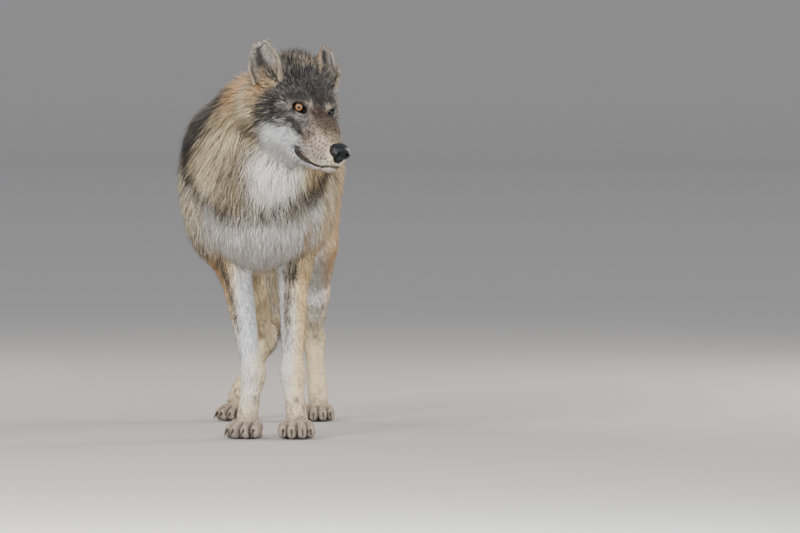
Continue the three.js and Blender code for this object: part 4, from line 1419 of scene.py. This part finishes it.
coatPaint = coatMaterial()
tree = coatTree()
sockets = {s.name: s.identifier for s in tree.interface.items_tree if s.in_out == "INPUT"}
corner = listed(skinData.loops, "vertex_index", 1, np.int32)
corner = corner[listed(skinData.polygons, "loop_start", 1, np.int32)]
hairyArea = listed(skinData.polygons, "area", 1) * amount[corner]
for name, coat in coats.items():
    holder = linkTo(bpy.data.objects.new("holder", skinData))
    modifier = holder.modifiers.new("coat", "NODES")
    modifier.node_group = tree
    ground = hairyArea[region[corner] == coat["region"]].sum()
    values = {"Region": float(coat["region"]), "Density": coat["tufts"] / ground}
    values |= {"Width": coat["width"] / 1000, "Material": coatPaint, "Seed": tufts["seed"] + coat["region"]}
    values |= {label: tufts[label.lower()] for label in ("Flatness", "Bend", "Spread", "Segments")}
    for label, value in values.items():
        modifier[sockets[label]] = value
    evaluated = holder.evaluated_get(bpy.context.evaluated_depsgraph_get())
    data = bpy.data.meshes.new_from_object(evaluated)
    data.name = name
    bpy.data.objects.remove(holder)
    co = listed(data.vertices, "co")
    co[:, 2] = np.maximum(co[:, 2], tufts["floorGap"])
    setPoints(data, co)
    # The map: each tuft has a small patch at its root's place on the unwrapped skin.
    spots = (listed(data.attributes["rootSpot"].data, "vector") - origin) * 1000
    along = listed(data.attributes["along"].data, "value", 1)
    sides = tufts["sides"]
    each = np.arange(len(co)) % (sides * tufts["segments"] + 1)
    ownPatch = np.column_stack([(each % sides) / (sides - 1) * (1 - along), along]) * tufts["mapPatch"]
    uv = wrapped(spots, wraps[name]) + ownPatch
    layer = data.uv_layers.new(name="OFBake")
    corners = listed(data.loops, "vertex_index", 1, np.int32)
    layer.data.foreach_set("uv", uv[corners].astype(np.float32).ravel())
    for spare in ("lie", "coatLength", "lift", "fall", "amount", "region", "bare", "rootSpot"):
        if spare in data.attributes:
            data.attributes.remove(data.attributes[spare])
    piece = linkTo(bpy.data.objects.new(name, data))
    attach(piece, "root")
    print(name, len(data.polygons), "faces")


def ringFaces(rings, sides):
    # Quads between rings of points, with a flat face at each end.
    faces = []
    for i in range(rings - 1):
        for j in range(sides):
            k = (j + 1) % sides
            faces.append((i * sides + j, i * sides + k, (i + 1) * sides + k, (i + 1) * sides + j))
    last = (rings - 1) * sides
    faces.append(tuple(range(sides))[::-1])
    faces.append(tuple(last + j for j in range(sides)))
    return faces


def joinedMesh(name, solids):
    # One mesh of several lists of points and faces.
    points, faces = [], []
    for own, ownFaces in solids:
        faces += [tuple(i + len(points) for i in face) for face in ownFaces]
        points += [tuple(p) for p in toScene(own)]
    data = bpy.data.meshes.new(name)
    data.from_pydata(points, [], faces)
    data.shade_smooth()
    return data


# The eyes. Rings are [angle from the gaze, tone], from the pupil to the rim.
eyeLook = {
    "rings": [
        (0, (8, 7, 7)), (0.31, (8, 7, 7)), (0.33, (70, 44, 28)), (0.42, (140, 104, 72)),
        (0.62, (134, 95, 62)), (0.80, (96, 64, 40)), (0.88, (30, 18, 13)), (1, (20, 12, 9)),
    ],
    "streaks": 9.0, "waver": 0.10, "cornea": 0.07, "seat": 0.2, "rounds": 44, "sides": 56,
}


def eyeball(side):
    # Rings of points about the gaze, with the cornea standing out a little.
    across, out, up = eyeAxes(side)
    rounds, sides = eyeLook["rounds"], eyeLook["sides"]
    own = []
    for i in range(rounds):
        angle = math.pi * (i + 0.35) / (rounds - 0.3)
        bulge = 1 + eyeLook["cornea"] * max(math.cos(min(angle * 1.5, math.pi / 2)), 0)
        for j in range(sides):
            turn = 2 * math.pi * j / sides
            spoke = (across * math.cos(turn) + up * math.sin(turn)) * math.sin(angle) * side
            ray = (out * math.cos(angle) + spoke) * (eyes["radius"] - eyeLook["seat"])
            own.append(fromHead(eyeCentre(side) + ray * bulge))
    return np.array(own), ringFaces(rounds, sides)


def eyeMaterial():
    material, make, dress = newMaterial("eyeAmber")
    angle = attribute(make, "gazeAngle")
    rosette = make("ShaderNodeCombineXYZ", {0: attribute(make, "gazeTurn"), 1: angle}).outputs[0]
    inputs = {"Vector": rosette, "Scale": eyeLook["streaks"], "Detail": 4.0}
    streaks = make("ShaderNodeTexNoise", inputs).outputs[0]
    wavy = calc(make, "MULTIPLY_ADD", streaks, eyeLook["waver"], angle)
    ramp = make("ShaderNodeValToRGB", {0: wavy})
    stops = ramp.color_ramp.elements
    for place, tone in eyeLook["rings"]:
        stop = stops[-place] if place in (0, 1) else stops.new(place)
        stop.color = colour(tone)
    dress({"Base Color": ramp.outputs[0], "Roughness": 0.3, "Specular IOR Level": 0.12})
    dress({"Coat Weight": 0.3, "Coat Roughness": 0.02})
    return material


eyePaint = eyeMaterial()
for name, side in (("eye_right", -1), ("eye_left", 1)):
    own, ownFaces = eyeball(side)
    data = joinedMesh(name + "_fine", [(own, ownFaces)])
    across, out, up = eyeAxes(side)
    rays = unit(toHead(own) - eyeCentre(side))
    keep(data, "gazeAngle", np.arccos(np.clip(rays @ out, -1, 1)))
    keep(data, "gazeTurn", np.arctan2(rays @ up, rays @ across))
    data.materials.append(eyePaint)
    eye = linkTo(bpy.data.objects.new(name + "_fine", data))
    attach(eye, "root")
    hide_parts(name)

nose = {
    "step": 0.9, "low": (-30, -162, -70), "high": (30, -112, -16), "evening": 0.4,
    "ridge": (20, 21, 26), "groove": (9, 9, 12), "pebbles": 900.0, "roughness": 0.36,
}
pad = blend(
    [
        mass((0, -136, -33), (22, 16.5, 11.5)),
        *mirrored(lambda side: mass((side * 13, -140, -41), (10.5, 13.5, 10.5))),
        mass((0, -139, -51), (10.5, 13.5, 12)),
    ],
    5,
)
for side in (-1, 1):
    pit = limb((side * 9.5, -156, -39), (side * 12, -145, -41), 4.0, 3.0)
    slit = limb((side * 12, -153, -43), (side * 22, -142, -47), 2.4, 1.0)
    pad = hollow(pad, blend([pit, slit], 2), 1.2)
pad = hollow(pad, limb((0, -157, -44), (0, -152, -64), 1.0, 0.8), 0.8)
data, nosePoints = evenNet("nose_fine", pad, nose["low"], nose["high"], nose["step"], 6, nose["evening"])
setPoints(data, toScene(fromHead(nosePoints)))
data.shade_smooth()
nosePaint, make, dress = newMaterial("noseLeather")
place = make("ShaderNodeTexCoord").outputs["Object"]
pebbles = make("ShaderNodeTexVoronoi", {"Vector": place, "Scale": nose["pebbles"]}, feature="F1")
# Painted shade: the leather is darker in the grooves between its pebbles.
groove = ranged(make, pebbles.outputs["Distance"], (0, 0.7), (0, 1))
leather = mixed(make, groove, colour(nose["ridge"]), colour(nose["groove"]))
bump = make("ShaderNodeBump", {"Height": groove, "Strength": 0.35, "Distance": 0.0006}, invert=True)
dress({"Base Color": leather, "Normal": bump.outputs[0]})
dress({"Roughness": nose["roughness"], "Specular IOR Level": 0.3})
data.materials.append(nosePaint)
nosePiece = linkTo(bpy.data.objects.new("nose_fine", data))
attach(nosePiece, "root")
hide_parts("nose_pad")

claws = {
    "length": 19, "radius": 4.6, "rootHeight": 20, "drop": 15, "floorGap": 0.4, "rings": 14, "sides": 12,
    "dark": (30, 26, 24), "pale": (74, 64, 56), "roughness": (0.3, 0.5),
}


def claw(name, aside, ahead, radius):
    # Curves forward and down from the front of its toe, round above and keeled below.
    place, turn, size = pawFrame(name)
    own = []
    for i in range(claws["rings"]):
        share = i / (claws["rings"] - 1) * 1.04 - 0.06
        up = claws["rootHeight"] - claws["drop"] * max(share, 0) ** 2
        middle = np.array([aside * (1 + 0.06 * share), -ahead - radius - 2 - claws["length"] * share, up])
        thick = claws["radius"] * math.sqrt(max(1 - share, 0.004)) * 0.94
        for j in range(claws["sides"]):
            angle = 2 * math.pi * j / claws["sides"]
            keel = 0.8 - 0.25 * max(-math.cos(angle), 0)
            rim = np.array([-math.sin(angle) * thick * keel, 0, math.cos(angle) * thick])
            own.append((middle + rim) * size @ turn.T + place)
    own = np.array(own)
    own[:, 2] = np.maximum(own[:, 2], claws["floorGap"])
    return own, ringFaces(claws["rings"], claws["sides"])


solids, clawNodes = [], []
for name in stance:
    for index, toe in enumerate(paws["toes"]):
        solids.append(claw(name, *toe))
        clawNodes.append(f"claw_{name[:4]}_{name[4:].lower()}_{index + 1}")
data = joinedMesh("claws_fine", solids)
hornPaint, make, dress = newMaterial("clawHorn")
growth = noise(make, 240.0, 3.0)
horn = mixed(make, growth, colour(claws["dark"]), colour(claws["pale"]))
dress({"Base Color": horn, "Roughness": ranged(make, growth, (0, 1), claws["roughness"])})
data.materials.append(hornPaint)
clawPiece = linkTo(bpy.data.objects.new("claws_fine", data))
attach(clawPiece, "root")
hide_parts(*clawNodes)
print("eyes, nose and claws made")

# One whisker grows from every second root of three rows on each side, out from the muzzle and drooping.
whisker = {
    "length": (30, 58), "radius": 0.34, "rings": 9, "sides": 5, "every": 2, "rootDepth": 1.5,
    "way": (0.75, 0.45, -0.12), "sway": (-0.15, 0.1), "droop": (0, 0.1225, -0.175), "roughness": 0.4,
}


def whiskerRoot(side, back, up):
    # Comes in from the side until it is in the skin.
    root = np.array([side * 46.0, back, up])
    for _ in range(60):
        if headForm(root[:, None])[0] < 0:
            break
        root[0] -= side * 0.6
    return root


rng = np.random.default_rng(8)
solids = []
for side in (-1, 1):
    for back, up in [spot for row in whiskerRows[1:4] for spot in row[:: whisker["every"]]]:
        start = whiskerRoot(side, back, up)
        way = unit(flipped(whisker["way"], side) + np.array([0, 0, rng.uniform(*whisker["sway"])]))
        reach = rng.uniform(*whisker["length"])
        own = []
        for i in range(whisker["rings"]):
            share = i / (whisker["rings"] - 1)
            middle = start + way * (reach * share - whisker["rootDepth"])
            middle = middle + np.array(whisker["droop"]) * reach * share**2
            thick = whisker["radius"] * (1.02 - share)
            for j in range(whisker["sides"]):
                turn = 2 * math.pi * j / whisker["sides"]
                own.append(middle + np.array([0, math.cos(turn), -side * math.sin(turn)]) * thick)
        solids.append((fromHead(own), ringFaces(whisker["rings"], whisker["sides"])))
data = joinedMesh("whiskers", solids)
whiskerPaint, make, dress = newMaterial("whiskerHair")
strand = mixed(make, noise(make, 60.0, 2.0), colour("black"), colour("slate"))
dress({"Base Color": strand, "Roughness": whisker["roughness"]})
data.materials.append(whiskerPaint)
whiskerPiece = linkTo(bpy.data.objects.new("whiskers", data))
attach(whiskerPiece, "root")

flesh = ["trunk", "neck", "tail", "head", "lower_jaw", "ear_right", "ear_left"]
for end in ("fore", "hind"):
    flesh += [f"{end}{part}_{side}" for part in ("leg", "paw") for side in ("right", "left")]
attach(skinPiece, "root")
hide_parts(*flesh)


def aimed(obj, place, aim):
    obj.location = place
    obj.rotation_euler = Vector(np.subtract(aim, place)).to_track_quat("-Z", "Y").to_euler()


lens = {
    "place": (1640.4, -14135.6, 931.35), "aim": (299.6, -211.2, 369.5),
    "length": 293.02, "sensor": 36, "farthest": 60,
}
cameraData = bpy.data.cameras.new("camera")
cameraData.lens = lens["length"]
cameraData.sensor_width = lens["sensor"]
cameraData.clip_end = lens["farthest"]
camera = linkTo(bpy.data.objects.new("camera", cameraData))
aimed(camera, toScene(lens["place"]), toScene(lens["aim"]))
bpy.context.scene.camera = camera

# The floor rises in a bend to a wall far behind. Its sizes are metres.
studio = {
    "tone": (0.40, 0.385, 0.37), "side": 45, "front": -30, "wall": 24, "bend": 10, "top": 34, "steps": 16,
    "skyTone": (0.9, 0.93, 1), "skyPower": 0.92, "lampAim": (0, 0, 0.5),
}
profile = [(studio["front"], 0), (studio["wall"], 0)]
for step in range(1, studio["steps"] + 1):
    turn = math.pi / 2 * step / studio["steps"]
    profile.append((studio["wall"] + studio["bend"] * math.sin(turn), studio["bend"] * (1 - math.cos(turn))))
profile.append((studio["wall"] + studio["bend"], studio["top"]))
corners = [(side * studio["side"], y, z) for y, z in profile for side in (-1, 1)]
strips = [(2 * i, 2 * i + 1, 2 * i + 3, 2 * i + 2) for i in range(len(profile) - 1)]
floorData = bpy.data.meshes.new("floor")
floorData.from_pydata(corners, [], strips)
floorData.shade_smooth()
floor = linkTo(bpy.data.objects.new("floor", floorData))
floorPaint, make, dress = newMaterial("floorPaint")
dress({"Base Color": (*studio["tone"], 1), "Roughness": 0.9, "Specular IOR Level": 0})
floorData.materials.append(floorPaint)

lamps = {
    "key": {"place": (-2.3, -4.2, 2.2), "size": 1.8, "power": 255, "tone": (1, 0.96, 0.9)},
    "fill": {"place": (2.2, -4.2, 0.6), "size": 3.0, "power": 150, "tone": (0.88, 0.94, 1)},
    "bounce": {"place": (0.5, -3.4, 0.35), "size": 2.0, "power": 125, "tone": (0.92, 0.96, 1)},
    "leftRim": {"place": (-2.4, 2.0, 1.9), "size": 1.2, "power": 50, "tone": (1, 0.9, 0.76)},
    "rightRim": {"place": (2.6, 1.8, 1.4), "size": 1.2, "power": 110, "tone": (1, 0.9, 0.76)},
}
for name, lamp in lamps.items():
    data = bpy.data.lights.new(name, "AREA")
    data.size, data.energy, data.color = lamp["size"], lamp["power"], lamp["tone"]
    aimed(linkTo(bpy.data.objects.new(name, data)), lamp["place"], studio["lampAim"])
world = bpy.data.worlds.new("studio")
bpy.context.scene.world = world
world.use_nodes = True
sky = world.node_tree.nodes["Background"].inputs
sky["Color"].default_value = (*studio["skyTone"], 1)
sky["Strength"].default_value = studio["skyPower"]
